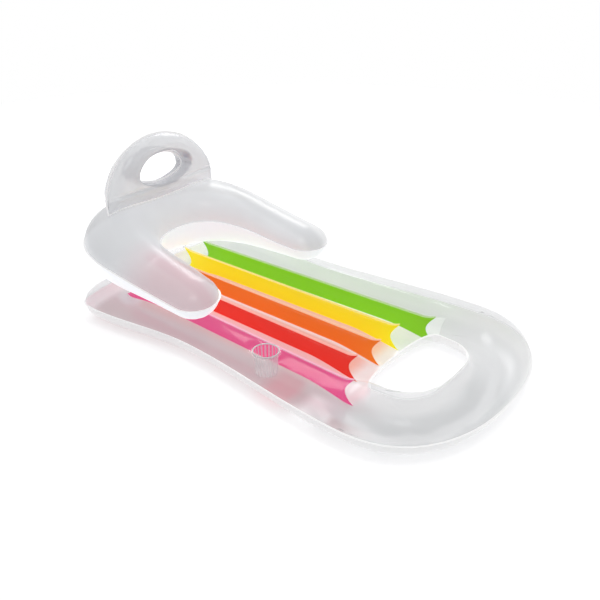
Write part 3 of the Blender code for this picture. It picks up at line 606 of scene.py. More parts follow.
def bunched(share, rows_share, length_share):
    """Moves rows towards both ends: rows_share of them lie within length_share of each end, closest at it."""
    near = min(share, 1 - share)
    if near < rows_share:
        place = length_share * (1 - math.cos(math.pi / 2 * near / rows_share))
    else:
        place = mix(length_share, 0.5, (near - rows_share) / (0.5 - rows_share))
    return place if share <= 0.5 else 1 - place


def groove(x, y, reach, run):
    """How far the film is drawn in at (x, y): 1 on a web, 0 midway between two webs and past their ends."""
    deepest = 0
    webs = (
        (0, MIDDLE_WEB_FOOT_Y),
        (web_x(INNER_WEB_X, y), INNER_WEB_FOOT_Y),
        (web_x(OUTER_WEB_X, y), OUTER_WEB_FOOT_Y),
    )
    for place, foot_y in webs:
        aside = max(1 - abs(abs(x) - place) / reach, 0) ** 2
        inside = min(y - foot_y, WEB_HEAD_Y - y)
        deepest = max(deepest, aside * smooth((inside + GROOVE_FADE) / (run + GROOVE_FADE)))
    return deepest


def film_rise(point, full, footward, top):
    """How far the film stands from the seam's plane over a point of the plan."""
    if top:
        crown = MAT_CROWN + FOOT_SWELL * footward
        return (crown - GROOVE_DEPTH * groove(point.x, point.y, GROOVE_REACH, GROOVE_RUN)) * full
    drawn_in = FLOOR_GROOVE_DEPTH * groove(point.x, point.y, FLOOR_GROOVE_REACH, FLOOR_GROOVE_RUN)
    return (MAT_SAG - drawn_in) * full


def cup_dip(point):
    """How far the film dips towards the cup's rim: 0 at the edge of the dip and 1 on the rim."""
    centre = CUP_CENTRE - MAT_MIDDLE
    away = math.hypot(point.x - centre.x, point.y - centre.y)
    reach = settings().cup.dip_radius
    return smooth((reach - away) / (reach - CUP_LIP_RADIUS))


def over_webs(face):
    """True for a face of the upper film between the outer webs."""
    middle = face.calc_center_median()
    return abs(middle.x) < web_x(OUTER_WEB_X, middle.y) and OPENING_CORNER_Y < middle.y < WEB_HEAD_Y


def mat_sheet(top):
    """The upper or lower film of the mat, in place, with its welded edges."""
    bm = bmesh.new()
    cell = settings().film.cell
    columns = 2 * HALF_STRIPS * cell
    side = 1 if top else -1

    def foot_place(u, v):
        strip = mix(-HALF_STRIPS, HALF_STRIPS, u)
        y = mix(end_y(strip, True), opening_y(strip, True), bunched(v, *FOOT_BUNCH_SHARES))
        return Vector((strip_x(strip, y), y, 0))

    def head_place(u, v):
        strip = mix(-HALF_STRIPS, HALF_STRIPS, u)
        y = mix(opening_y(strip, False), end_y(strip, False), bunched(v, *HEAD_BUNCH_SHARES))
        return Vector((strip_x(strip, y), y, 0))

    net(bm, columns, FOOT_ROWS * cell, foot_place)
    net(bm, columns, HEAD_ROWS * cell, head_place)
    merge(bm)
    seam = Seam(bm)
    fullness = {}
    for vert in bm.verts:
        footward = smooth((MIDDLE_WEB_FOOT_Y - vert.co.y) / (MIDDLE_WEB_FOOT_Y - OPENING_CORNER_Y))
        radius = mix(EDGE_RADIUS, FOOT_EDGE_RADIUS, footward)
        full = 0 if vert.is_boundary else dome(seam.nearest(vert.co)[1], radius)
        fullness[vert] = full
        rise = film_rise(vert.co, full, footward, top)
        height = SEAM_HEIGHT + side * (SEAM_HALF + rise)
        if top:
            height = mix(height, min(height, RIM_HEIGHT - GAP), cup_dip(vert.co))
        vert.co.z = max(height, 0)
    face_towards(bm, UP * side)
    for face in bm.faces:
        face.material_index = (WINDOW if over_webs(face) else CLEAR) if top else WHITE
    if top:
        pucker(bm, seam, fullness)
    add_weld(bm, UP * side, side)
    bmesh.ops.translate(bm, verts=bm.verts, vec=MAT_MIDDLE)
    return bm


def cut_cup_pocket(bm):
    """Cuts the cup's space out of the closed mat, so that the film ends on the cup."""
    mesh = bpy.data.meshes.new("mat_before_cup")
    bm.to_mesh(mesh)
    bm.free()
    whole = bpy.data.objects.new("mat_before_cup", mesh)
    tool_bm = bmesh.new()
    low, high = CUP_LOW.z - GAP, MAT_HIGH.z + WELD_WIDTH
    bmesh.ops.create_cone(
        tool_bm,
        cap_ends=True,
        segments=settings().cup.steps // 2,
        radius1=CUP_FOOT_RADIUS + CUP_WALL + GAP,
        radius2=CUP_MOUTH_RADIUS + CUP_WALL + 2 * GAP,
        depth=high - low,
        matrix=Matrix.Translation(CUP_CENTRE + UP * (low + high) / 2),
    )
    tool_mesh = bpy.data.meshes.new("cup_space")
    tool_bm.to_mesh(tool_mesh)
    tool_bm.free()
    tool = bpy.data.objects.new("cup_space", tool_mesh)
    for item in (whole, tool):
        bpy.context.scene.collection.objects.link(item)
    pocket = whole.modifiers.new("Cup", "BOOLEAN")
    pocket.operation = "DIFFERENCE"
    pocket.object = tool
    bpy.context.view_layer.update()
    cut = bpy.data.meshes.new_from_object(whole.evaluated_get(bpy.context.evaluated_depsgraph_get()))
    made = bmesh.new()
    made.from_mesh(cut)
    for face in made.faces:
        middle = face.calc_center_median() - CUP_CENTRE
        beside_cup = math.hypot(middle.x, middle.y) < CUP_MOUTH_RADIUS + 2 * CUP_WALL
        if beside_cup and middle.z > low - GAP:
            face.material_index = POCKET
    for item in (whole, tool):
        bpy.data.objects.remove(item)
    for leftover in (mesh, tool_mesh, cut):
        bpy.data.meshes.remove(leftover)
    return made


def build_web(name, side, pair, foot_y, tree, finishes):
    """One web: an upright strip of film with hollowed ends and a welded tab along its top and its bottom."""
    bm = bmesh.new()
    rows = WEB_RISERS + 2 * WEB_TAB_ROWS

    def place(u, v):
        row = round(v * rows)
        share = min(max((row - WEB_TAB_ROWS) / WEB_RISERS, 0), 1)
        hollow = WEB_END_HOLLOW * (1 - (2 * share - 1) ** 2)
        y = mix(foot_y + hollow, WEB_HEAD_Y - hollow, u)
        world_y = y + MAT_MIDDLE.y
        x = side * web_x(pair, y)
        low = height_of(tree, x, world_y, False) + WEB_GAP
        high = height_of(tree, x, world_y) - WEB_GAP
        tab = max(WEB_TAB_ROWS - row, row - WEB_TAB_ROWS - WEB_RISERS, 0) / WEB_TAB_ROWS * WEB_TAB
        if row < WEB_TAB_ROWS:
            low = height_of(tree, x + tab, world_y, False) + WEB_GAP
        if row > rows - WEB_TAB_ROWS:
            high = height_of(tree, x + tab, world_y) - WEB_GAP
        waves = Vector([value * rate for value, rate in zip((x, y, share), WEB_BOW_WAVES)])
        bow = WEB_BOW * noise.noise(waves) * math.sin(math.pi * share)
        return Vector((x + tab + bow, world_y, mix(low, high, share)))

    net(bm, WEB_COLUMNS, rows, place)
    face_towards(bm, Vector((1, 0, 0)))
    for face in bm.faces:
        face.material_index = 1 if abs(face.normal.z) > 0.5 else 0
    piece = new_piece(name, bm, finishes, "mat")
    film = piece.modifiers.new("Film", "SOLIDIFY")
    film.thickness = WEB_FILM
    film.offset = 0
    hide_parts("web_" + name.split("_")[0])
    return piece


# Backrest


def back_share(y):
    return (y - ARM_TIP_Y) / (BACK_REAR_Y - ARM_TIP_Y)


def tip_share(y):
    """How wide an arm still is at y: 1 as far as its rounded tip, 0 at the end of it."""
    return dome(y - ARM_TIP_Y, ARM_TIP_ROUND)


def back_seam(ring, outer):
    """The backrest's outer or inner seam, ring by ring from the middle of the rear (0) to an arm's tip."""
    if outer:
        half_width, aside, power = BACK_HALF_WIDTH, -ARM_TOE_IN, BACK_CORNER_POWER
        shoulder, rear = BACK_SHOULDER_Y, BACK_REAR_Y
    else:
        half_width, aside, power = LAP_HALF_WIDTH, ARM_SPLAY, LAP_CORNER_POWER
        shoulder, rear = LAP_SHOULDER_Y, LAP_REAR_Y
    step = abs(ring)
    if step <= CORNER_RINGS:
        even = math.pi / 2 * step / CORNER_RINGS
        bend = BACK_CORNER_POWER / 2
        angle = math.atan2(math.sin(even) ** bend, max(math.cos(even), 0) ** bend)
        x = half_width * math.sin(angle) ** (2 / power)
        y = mix(shoulder, rear, max(math.cos(angle), 0) ** (2 / power))
    else:
        down = math.sin(math.pi / 2 * (step - CORNER_RINGS) / ARM_RINGS)
        y = mix(shoulder, ARM_TIP_Y, down)
        middle = (BACK_HALF_WIDTH - ARM_TOE_IN + LAP_HALF_WIDTH + ARM_SPLAY) / 2
        x = mix(middle, half_width + aside * down * down, tip_share(y))
    rise = mix(ARM_SEAM_RISE, REAR_SEAM_RISE, back_share(y))
    return Vector((math.copysign(x, ring), y, BACK_BOTTOM + rise))


def backrest_sheet(top):
    bm = bmesh.new()
    cell = settings().film.cell
    side = 1 if top else -1

    def place(u, v):
        ring = mix(-LAST_RING, LAST_RING, u)
        outer, inner = back_seam(ring, True), back_seam(ring, False)
        angle = math.pi * v
        point = outer.lerp(inner, (1 - math.cos(angle)) / 2)
        share = smooth(back_share((outer.y + inner.y) / 2))
        high = mix(ARM_CROWN, REAR_CROWN, share) if top else mix(ARM_SAG, REAR_SAG, share)
        rise = high * math.sin(angle) * tip_share(inner.y)
        point.z = max(point.z + side * (SEAM_HALF + rise), BACK_BOTTOM)
        return point

    net(bm, 2 * LAST_RING * cell, BACK_ROWS * cell, place)
    merge(bm)
    face_towards(bm, UP * side)
    seam = Seam(bm)
    fullness = {vert: min(seam.nearest(vert.co)[1] / EDGE_RADIUS, 1) for vert in bm.verts}
    for face in bm.faces:
        face.material_index = CLEAR if top else WHITE
    pucker(bm, seam, fullness)
    add_weld(bm, UP * side, side)
    return bm


# Headrest


def arch_top(x):
    return HEADREST_STRAIGHT + HEADREST_RISE * power_arc(x / HEADREST_HALF_WIDTH, 2)


def headrest_x(column):
    if abs(column) <= HOLE_COLUMNS:
        return HOLE_HALF_WIDTH * math.sin(math.pi / 2 * column / HOLE_COLUMNS)
    share = math.sin(math.pi / 2 * (abs(column) - HOLE_COLUMNS) / SIDE_COLUMNS)
    return math.copysign(mix(HOLE_HALF_WIDTH, HEADREST_HALF_WIDTH, share), column)


def hole_middle(x):
    return min(HOLE_RISE, CHEEK_TOP_SHARE * arch_top(x))


def hole_half(x):
    return HOLE_HALF_HEIGHT * power_arc(x / HOLE_HALF_WIDTH, 2)


def crease_at(x):
    """Height of the crease at x; it bends down where the arch is low."""
    top = hole_middle(x) - hole_half(x)
    return min(CREASE_RISE, CREASE_SIDE_SHARE * top) if abs(x) > HOLE_HALF_WIDTH else CREASE_RISE


def from_hole(point):
    """How far a point of the headrest's plane lies outside its hole, about."""
    away = math.hypot(point.x, point.z - HOLE_RISE)
    share = math.hypot(point.x / HOLE_HALF_WIDTH, (point.z - HOLE_RISE) / HOLE_HALF_HEIGHT)
    return away * (1 - 1 / max(share, 1))


def headrest_sheet(front, back_tree):
    """The front or back film of the headrest in its own plane, whose foot follows the backrest's crown."""
    bm = bmesh.new()
    cell = settings().film.cell
    half = HOLE_COLUMNS + SIDE_COLUMNS
    side = -1 if front else 1

    def lower_place(u, v):
        x = headrest_x(mix(-half, half, u))
        top = hole_middle(x) - hole_half(x)
        crease = crease_at(x)
        if v <= 0.5:
            return Vector((x, 0, crease * (1 - math.cos(math.pi * v))))
        return Vector((x, 0, mix(crease, top, math.sin(math.pi * (v - 0.5)))))

    def upper_place(u, v):
        x = headrest_x(mix(-half, half, u))
        share = bunched(v, *ARCH_BUNCH_SHARES)
        return Vector((x, 0, mix(hole_middle(x) + hole_half(x), arch_top(x), share)))

    net(bm, 2 * half * cell, HEADREST_LOWER_ROWS * cell, lower_place)
    net(bm, 2 * half * cell, HEADREST_UPPER_ROWS * cell, upper_place)
    merge(bm)
    middle = seat_height(back_tree, 0, HEADREST_Y)
    for vert in bm.verts:
        drop = middle - seat_height(back_tree, vert.co.x, HEADREST_Y)
        vert.co.z -= drop * (1 - smooth(vert.co.z / HOLE_RISE))
    seam = Seam(bm)
    fullness = {}
    for vert in bm.verts:
        lip = smooth(1 - from_hole(vert.co) / HOLE_LIP) * smooth(vert.co.z / CREASE_RISE)
        power = mix(2, HOLE_LIP_POWER, lip)
        radius = mix(HEADREST_FOOT_RADIUS, HEADREST_EDGE_RADIUS, smooth(vert.co.z / HEADREST_FOOT_REACH))
        full = 0 if vert.is_boundary else dome(seam.nearest(vert.co)[1], radius, power)
        fullness[vert] = full
        beside = smooth(abs(vert.co.x) / HOLE_HALF_WIDTH)
        near = max(1 - abs(vert.co.z - CREASE_RISE) / CREASE_REACH, 0) ** 2
        rise = (HEADREST_CROWN + HOLE_LIP_SWELL * lip - CREASE_DEPTH * beside * near) * full
        vert.co.y = side * (SEAM_HALF + rise)
    face_towards(bm, Vector((0, side, 0)))
    for face in bm.faces:
        # Faces round the hole take the slot of the painted hole shade
        face.material_index = WINDOW if from_hole(face.calc_center_median()) < HOLE_WALL else CLEAR
    pucker(bm, seam, fullness)
    add_weld(bm, Vector((0, side, 0)), side)
    return bm


def seat_height(tree, x, y):
    """Height of the headrest's lowest seam at x, whose weld below it seats on the backrest."""
    seat = max(height_of(tree, x, y - SEAM_HALF), height_of(tree, x, y + SEAM_HALF))
    return seat + HEADREST_SEAT_GAP + WELD_WIDTH


# Cup holder


def build_cup(finishes):
    """The moulded cup, turned with flutes: a lip on the film, the wall and the floor. The second finish is
    for the ribs between the flutes."""
    steps = settings().cup.steps
    lip, mouth, foot = CUP_LIP_RADIUS, CUP_MOUTH_RADIUS, CUP_FOOT_RADIUS
    top, floor = RIM_HEIGHT, CUP_FLOOR_HEIGHT
    profile = [(lip, top, 0), (mix(lip, mouth, 0.5), top + GAP, 0), (mouth, top, 0)]
    for row in range(1, CUP_WALL_ROWS + 1):
        share = row / CUP_WALL_ROWS
        height = mix(top - CUP_CORNER, floor + CUP_CORNER, share)
        fluted = 1 if 1 < row < CUP_WALL_ROWS else CUP_FLUTE_END_SHARE
        profile.append((mix(mouth, foot, share), height, fluted))
    for row in range(1, CUP_CORNER_ROWS + 1):
        angle = math.pi / 2 * row / CUP_CORNER_ROWS
        radius = foot - CUP_CORNER + CUP_CORNER * math.cos(angle)
        profile.append((radius, floor + CUP_CORNER - CUP_CORNER * math.sin(angle), CUP_FLUTE_CORNER_SHARE))
    profile += [(foot * share, floor, 0) for share in CUP_FLOOR_SHARES]
    bm = bmesh.new()

    def place(u, v):
        radius, height, fluted = profile[round(v * (len(profile) - 1))]
        around = 2 * math.pi * u
        radius -= fluted * CUP_FLUTE_DEPTH * (0.5 - 0.5 * math.cos(CUP_FLUTES * around)) ** 2
        return CUP_CENTRE + Vector((radius * math.cos(around), radius * math.sin(around), height))

    net(bm, steps, len(profile) - 1, place)
    merge(bm)
    face_towards(bm, UP)
    for face in bm.faces:
        middle = face.calc_center_median() - CUP_CENTRE
        on_rib = math.cos(CUP_FLUTES * math.atan2(middle.y, middle.x)) < CUP_RIB_EDGE
        face.material_index = 1 if on_rib and floor + CUP_CORNER < middle.z < top - CUP_CORNER else 0
    piece = new_piece("cup_body", bm, finishes, "mat")
    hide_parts("cup_holder")
    return piece


def build_cup_rim(finish):
    """The rolled rim that lies on the cup's lip."""
    bm = bmesh.new()
    bmesh.ops.create_circle(
        bm,
        segments=RIM_SIDES,
        radius=RING_RADIUS,
        matrix=Matrix.Translation((RING_OUTSIDE - RING_RADIUS, 0, 0)) @ Matrix.Rotation(math.pi / 2, 4, "X"),
    )
    bmesh.ops.spin(
        bm,
        geom=bm.verts[:] + bm.edges[:],
        cent=(0, 0, 0),
        axis=UP,
        angle=2 * math.pi,
        steps=RIM_STEPS,
        use_merge=True,
    )
    bmesh.ops.recalc_face_normals(bm, faces=bm.faces)
    bmesh.ops.translate(bm, verts=bm.verts, vec=CUP_CENTRE + UP * (RING_LOW.z + RING_HIGH.z) / 2)
    piece = new_piece("cup_rim", bm, [finish], "mat")
    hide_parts("cup_ring")
    return piece


# Materials


def add(tree, kind, sockets=(), **options):
    """One node: sockets holds pairs of an input, by name or place, and its value or the output feeding it."""
    node = tree.nodes.new(kind)
    for name, value in options.items():
        setattr(node, name, value)
    for place, value in sockets:
        if isinstance(value, bpy.types.NodeSocket):
            tree.links.new(value, node.inputs[place])
        else:
            node.inputs[place].default_value = value
    return node


def new_finish(name):
    """An empty material with its shader tree."""
    made = bpy.data.materials.new(name)
    made.use_nodes = True
    made.node_tree.nodes.clear()
    return made, made.node_tree


# The rings place the painted fold shade round the foot opening
def ring_distance(tree, place):
    """Where a point of the foot end lies: 1 at the edge of the foot opening and about 2 at the mat's seam."""
    middle = Vector((0, OPENING_CORNER_Y, 0)) + MAT_MIDDLE
    kind = "ShaderNodeVectorMath"
    from_middle = add(tree, kind, [(0, place), (1, middle)], operation="SUBTRACT").outputs[0]
    scale = (1 / OPENING_HALF_WIDTH, 1 / OPENING_TO_FOOT, 0)
    scaled = add(tree, kind, [(0, from_middle), (1, scale)], operation="MULTIPLY").outputs[0]
    length = add(tree, kind, [(0, scaled)], operation="LENGTH").outputs["Value"]
    slow = add(tree, "ShaderNodeTexNoise", [("Vector", place), ("Scale", FOLD_SHADE_NOISE_SCALE)]).outputs["Fac"]
    parts = [(0, slow), (1, FOLD_SHADE_UNEVENNESS), (2, length)]
    uneven = add(tree, "ShaderNodeMath", parts, operation="MULTIPLY_ADD").outputs[0]
    centred = [(0, uneven), (1, FOLD_SHADE_UNEVENNESS / 2)]
    return add(tree, "ShaderNodeMath", centred, operation="SUBTRACT").outputs[0]


def patch(tree, place, spans):
    """A soft-edged mask: the product of one smooth step for each span, given as an axis, its 0 and its 1."""
    parts = dict(add(tree, "ShaderNodeSeparateXYZ", [(0, place)]).outputs.items())
    mask = None
    for axis, start, end in spans:
        if axis == "Rings":
            parts["Rings"] = ring_distance(tree, place)
        reach = [("Value", parts[axis]), ("From Min", start), ("From Max", end)]
        step = add(tree, "ShaderNodeMapRange", reach, interpolation_type="SMOOTHSTEP").outputs[0]
        if mask:
            step = add(tree, "ShaderNodeMath", [(0, mask), (1, step)], operation="MULTIPLY").outputs[0]
        mask = step
    return mask


def vinyl(name, colour, hidden, roughness=0.16, ior=1.53, albedo=1, glow=0, gloss=0.5, patches=()):
    """Calendered PVC film, 0.45 mm thick: glossy, with the slow unevenness of a blown-up sheet in its
    reflections. The glow is painted light: an emission in the film's own colour that stands in for the light
    a milky film passes on from its other side. Each patch is painted light or shade on the film (bounced
    colour, painted shade or a painted highlight), with the spans where it lies."""
    made, tree = new_finish(name)
    place = add(tree, "ShaderNodeTexCoord").outputs["Object"]
    slow = add(tree, "ShaderNodeTexNoise", [("Vector", place), ("Scale", BUMP_SCALE), ("Detail", 2)])
    relief = [("Height", slow.outputs["Fac"]), ("Strength", BUMP_STRENGTH), ("Distance", BUMP_HEIGHT)]
    bump = add(tree, "ShaderNodeBump", relief)
    cloudy = add(tree, "ShaderNodeTexNoise", [("Vector", place), ("Scale", CLOUD_SCALE), ("Detail", 1)])
    base = linear(colour)
    darker = tuple(channel * CLOUD_DARKEST * albedo for channel in base[:3]) + (1,)
    lighter = tuple(min(channel * CLOUD_LIGHTEST, 1) * albedo for channel in base[:3]) + (1,)
    colours = [("Factor", cloudy.outputs["Fac"]), (6, darker), (7, lighter)]
    shade = add(tree, "ShaderNodeMix", colours, data_type="RGBA").outputs[2]
    for patch_colour, spans in patches:
        colours = [("Factor", patch(tree, place, spans)), (6, shade), (7, linear(patch_colour))]
        shade = add(tree, "ShaderNodeMix", colours, data_type="RGBA").outputs[2]
    shader = add(
        tree,
        "ShaderNodeBsdfPrincipled",
        [
            ("Normal", bump.outputs["Normal"]),
            ("Base Color", shade),
            ("Roughness", roughness),
            ("Alpha", hidden),
            ("IOR", ior),
            ("Specular IOR Level", gloss),
            ("Emission Color", base),
            ("Emission Strength", glow),
        ],
    )
    add(tree, "ShaderNodeOutputMaterial", [("Surface", shader.outputs["BSDF"])])
    return made


def welded_edge(chamber):
    """The weld round a chamber: two films pressed into one, a paler band that hides more than the film."""
    look = settings().finishes
    return vinyl(chamber + " welded edge", look.white, look.weld_veil, roughness=0.35, glow=0.2)


def floor_painted_light(look):
    """Painted light and shade on the mat's lower film: bounced colour from the webs, painted shade, a painted
    shadow and a painted highlight. A span is an axis with the place where the tint starts and the place where
    it is full, in metres, or in rings from the foot opening."""
    on_floor = ("Z", 0.034, 0.012)
    webs_foot, webs_head = MIDDLE_WEB_FOOT_Y + MAT_MIDDLE.y, WEB_HEAD_Y + MAT_MIDDLE.y
    between_webs = (("Y", webs_foot + 0.02, webs_foot + 0.08), ("Y", webs_head - 0.06, webs_head - 0.12))
    near_foot = (("X", 0.26, 0.02), ("Y", -0.3, -0.4), on_floor)
    head_end_shadow = (("X", 0.26, 0.22), ("X", -0.26, -0.22), ("Y", webs_head - 0.08, webs_head - 0.03))
    cup_reflection_zone = (("X", -0.2, -0.25), ("Y", -0.27, -0.22), ("Y", -0.1, -0.17))
    return (
        # Painted shade where the lower film lies on the floor
        (look.floor, (on_floor,)),
        # Painted bounce light from the webs on the lower film between them
        (look.peach_bounce, (("X", 0.004, 0.012), ("X", 0.135, 0.125), *between_webs)),
        (look.coral_bounce, (("X", -0.002, -0.01), ("X", -0.135, -0.125), *between_webs)),
        (look.rose_bounce, (("X", -0.108, -0.116), ("X", -0.25, -0.22), *between_webs)),
        # Painted pink bounce light and shade on the lower film beside the pink web
        (look.mat_pink_bounce, (("X", -0.18, -0.27), ("Y", -0.56, -0.4), on_floor)),
        # Painted pink reflection on the lower film beside the cup
        (look.cup_pink_reflection, (*cup_reflection_zone, on_floor)),
        # Painted highlight: a white patch on the lower film beside the cup
        (look.white, (("X", -0.24, -0.27), ("Y", -0.42, -0.38), ("Y", -0.26, -0.32), on_floor)),
        # Painted shadow of the backrest on the lower film beyond the webs' head ends
        (look.fold_shade, (*head_end_shadow, on_floor)),
        # Painted shade of folds, in two rings round the foot opening
        (look.fold_shade, (("Rings", 1.1, 1.36), ("Rings", 1.6, 1.46), *near_foot)),
        (look.fold_shade, (("Rings", 1.68, 1.8), ("Rings", 2.04, 1.9), *near_foot)),
    )


def back_painted_light(look):
    """Painted light and shade on the backrest's upper film: painted shade, painted web light and a painted
    highlight, in spans as above.
    """
    right_crown = (("X", -0.27, -0.295), ("X", -0.335, -0.31), ("Y", 0.42, 0.3), ("Y", 0.0, 0.12))
    return (
        # Painted highlight on the left arm's outer side
        (look.white, (("X", 0.26, 0.36), ("Y", 0.66, 0.5))),
        # Painted shade along the crown of the left arm
        (look.arm_streak_shade, (("X", 0.22, 0.25), ("X", 0.32, 0.28), ("Y", 0.66, 0.5))),
        # Painted shade, darker towards the sitter's right
        (look.back_shade, (("X", 0.02, -0.3),)),
        # Painted pink web light on the right arm
        (look.back_web_light, (("X", -0.2, -0.3), ("Y", 0.5, 0.28))),
        # Painted shade and red web light along the right arm's crown
        (look.back_streak_shade, right_crown),
    )


# Operators


class OBJECT_OT_pool_chair_mat(bpy.types.Operator):
    """Builds the mat's air chamber with its welded edges"""

    bl_idname = "object.pool_chair_mat"
    bl_label = "Mat"

    def execute(self, context):
        joined = join_sheets("mat_chamber", [mat_sheet(True), mat_sheet(False)])
        whole = cut_cup_pocket(joined)
        look = settings().finishes
        finishes = [
            vinyl("mat clear vinyl film", look.mat_clear, look.mat_veil, ior=1.65),
            vinyl("mat clear vinyl window", look.mat_clear, look.window_veil, ior=2.2),
            # The white film's glow is painted light that brightens its outer wall
            vinyl(
                "mat white vinyl film",
                look.white,
                look.white_veil,
                roughness=0.3,
                glow=0.2,
                patches=floor_painted_light(look),
            ),
            welded_edge("mat"),
            vinyl("cup pocket vinyl film", look.white, look.pocket_veil),
        ]
        piece = new_piece("mat_chamber", whole, finishes, "mat")
        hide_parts("mat_top_sheet", "mat_bottom_sheet")
        return {"FINISHED"}


class OBJECT_OT_pool_chair_webs(bpy.types.Operator):
    """Builds the five coloured webs inside the mat"""

    bl_idname = "object.pool_chair_webs"
    bl_label = "Webs"

    def execute(self, context):
        tree = chamber_tree("mat_chamber")
        look = settings().finishes
        rows = (
            ("green", 1, OUTER_WEB_X, OUTER_WEB_FOOT_Y),
            ("yellow", 1, INNER_WEB_X, INNER_WEB_FOOT_Y),
            ("orange", 1, (0, 0), MIDDLE_WEB_FOOT_Y),
            ("red", -1, INNER_WEB_X, INNER_WEB_FOOT_Y),
            ("pink", -1, OUTER_WEB_X, OUTER_WEB_FOOT_Y),
        )
        for colour, side, pair, foot_y in rows:
            strong, pale = getattr(look, colour), getattr(look, colour + "_tab")
            # Painted light: the webs glow in their own colours, and the tabs' pale tints are painted
            # highlights along the welds
            finish = vinyl(colour + " vinyl film", strong, 1, roughness=0.3, glow=0.26, gloss=0.15)
            tab = vinyl(colour + " welded tab", pale, look.tab_veil, roughness=0.3, glow=0.3)
            build_web(colour + "_web", side, pair, foot_y, tree, [finish, tab])
        return {"FINISHED"}


class OBJECT_OT_pool_chair_cup(bpy.types.Operator):
    """Builds the cup holder and its rolled rim"""

    bl_idname = "object.pool_chair_cup"
    bl_label = "Cup Holder"

    def execute(self, context):
        look = settings().finishes
        moulded = {"roughness": 0.2, "ior": 2.0, "glow": 0.1}
        clear = vinyl("moulded clear vinyl", look.cup, look.cup_veil, **moulded)
        rib = vinyl("moulded clear vinyl rib", look.cup, look.rib_veil, **moulded)
        build_cup([clear, rib])
        build_cup_rim(vinyl("rolled clear vinyl", look.cup, look.rim_veil, roughness=0.2))
        return {"FINISHED"}


class OBJECT_OT_pool_chair_backrest(bpy.types.Operator):
    """Builds the U-shaped backrest with the arms"""

    bl_idname = "object.pool_chair_backrest"
    bl_label = "Backrest"

    def execute(self, context):
        joined = join_sheets("backrest_chamber", [backrest_sheet(True), backrest_sheet(False)])
        look = settings().finishes
        clear = vinyl(
            "backrest clear vinyl film",
            look.back_clear,
            look.back_veil,
            roughness=0.28,
            glow=0.06,
            patches=back_painted_light(look),
        )
        # Painted light: the lower film is mostly glow, for the light that passes through it, with little lit
        # colour
        white = vinyl(
            "backrest white vinyl film",
            look.back_white,
            look.back_white_veil,
            roughness=0.3,
            albedo=0.26,
            glow=0.78,
        )
        # The backrest has no window, so the slot for one repeats the clear film
        finishes = [clear, clear, white, welded_edge("backrest")]
        piece = new_piece("backrest_chamber", joined, finishes, "backrest")
        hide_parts("backrest_top_sheet", "backrest_bottom_sheet")
        return {"FINISHED"}


class OBJECT_OT_pool_chair_headrest(bpy.types.Operator):
    """Builds the upright headrest with its hole and crease"""

    bl_idname = "object.pool_chair_headrest"
    bl_label = "Headrest"

    def execute(self, context):
        tree = chamber_tree("backrest_chamber")
        base = seat_height(tree, 0, HEADREST_Y)
        seat = Matrix.Translation((0, HEADREST_Y, base)) @ Matrix.Rotation(-HEADREST_LEAN, 4, "X")
        sheets = [headrest_sheet(True, tree), headrest_sheet(False, tree)]
        joined = join_sheets("headrest_chamber", sheets, seat)
        look = settings().finishes
        clear = vinyl(
            "headrest clear vinyl film",
            look.head_clear,
            look.head_veil,
            roughness=0.24,
            ior=1.7,
            glow=0.09,
        )
        # Painted shade of the hole's inner wall
        wall = vinyl("headrest hole shade vinyl film", look.head_hole_shade, look.wall_veil, ior=1.7, glow=0.06)
        # The window's slot holds the film round the hole, in a painted shade of the hole's inner wall, and no
        # film of the headrest is white
        finishes = [clear, wall, clear, welded_edge("headrest")]
        piece = new_piece("headrest_chamber", joined, finishes, "headrest")
        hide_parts("headrest_front_sheet", "headrest_back_sheet")
        return {"FINISHED"}


class OBJECT_OT_pool_chair_valves(bpy.types.Operator):
    """Gives the valves' stems, plugs and flaps their finish"""

    bl_idname = "object.pool_chair_valves"
    bl_label = "Valves"

    def execute(self, context):
        look = settings().finishes
        blue = vinyl("moulded blue clear vinyl", look.valve_blue, look.valve_veil, roughness=0.22)
        clear = vinyl("moulded clear vinyl valve", look.valve_clear, look.mat_valve_veil, roughness=0.22)
        for name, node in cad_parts.items():
            if "_valve_" in name:
                node.data.materials.clear()
                node.data.materials.append(clear if name.startswith("mat") else blue)
        return {"FINISHED"}


class OBJECT_OT_pool_chair_stage(bpy.types.Operator):
    """Builds the white floor, the soft lights and the camera"""

    bl_idname = "object.pool_chair_stage"
    bl_label = "Studio"

    def execute(self, context):
        scene = context.scene
        scene.view_settings.view_transform = "Standard"
        bm = bmesh.new()
        bmesh.ops.create_circle(bm, cap_ends=True, segments=FLOOR_STEPS, radius=FLOOR_RADIUS)
        bmesh.ops.translate(bm, verts=bm.verts, vec=(0, 0, -FLOOR_DROP))
        mesh = bpy.data.meshes.new("studio_floor")
        bm.to_mesh(mesh)
        bm.free()
        mesh.materials.append(floor_finish())
        floor = bpy.data.objects.new("studio_floor", mesh)
        scene.collection.objects.link(floor)
        light_world(scene)
        softbox("key_softbox", place=(2.5, 1.9, 2.3), width=1.4, depth=0.7, power=24)
        softbox("top_softbox", place=(-0.5, -1.1, 2.9), width=0.6, depth=1.0, power=10)
        camera_at_photo(scene)
        return {"FINISHED"}


def floor_finish():
    """Seamless studio paper: white to the camera, with the object's shadow on it."""
    made, tree = new_finish("white studio paper")
    path = add(tree, "ShaderNodeLightPath").outputs
    rays = [(0, path["Is Camera Ray"]), (1, path["Is Glossy Ray"])]
    seen = add(tree, "ShaderNodeMath", rays, operation="MAXIMUM")
    strength = add(tree, "ShaderNodeMath", [(0, seen.outputs[0]), (1, FLOOR_GLOW)], operation="MULTIPLY")
    paper = add(tree, "ShaderNodeBsdfDiffuse", [("Color", linear(settings().finishes.paper))])
    glow = add(tree, "ShaderNodeEmission", [("Strength", strength.outputs[0])])
    both = add(tree, "ShaderNodeAddShader", [(0, paper.outputs[0]), (1, glow.outputs[0])])
    add(tree, "ShaderNodeOutputMaterial", [("Surface", both.outputs[0])])
    return made


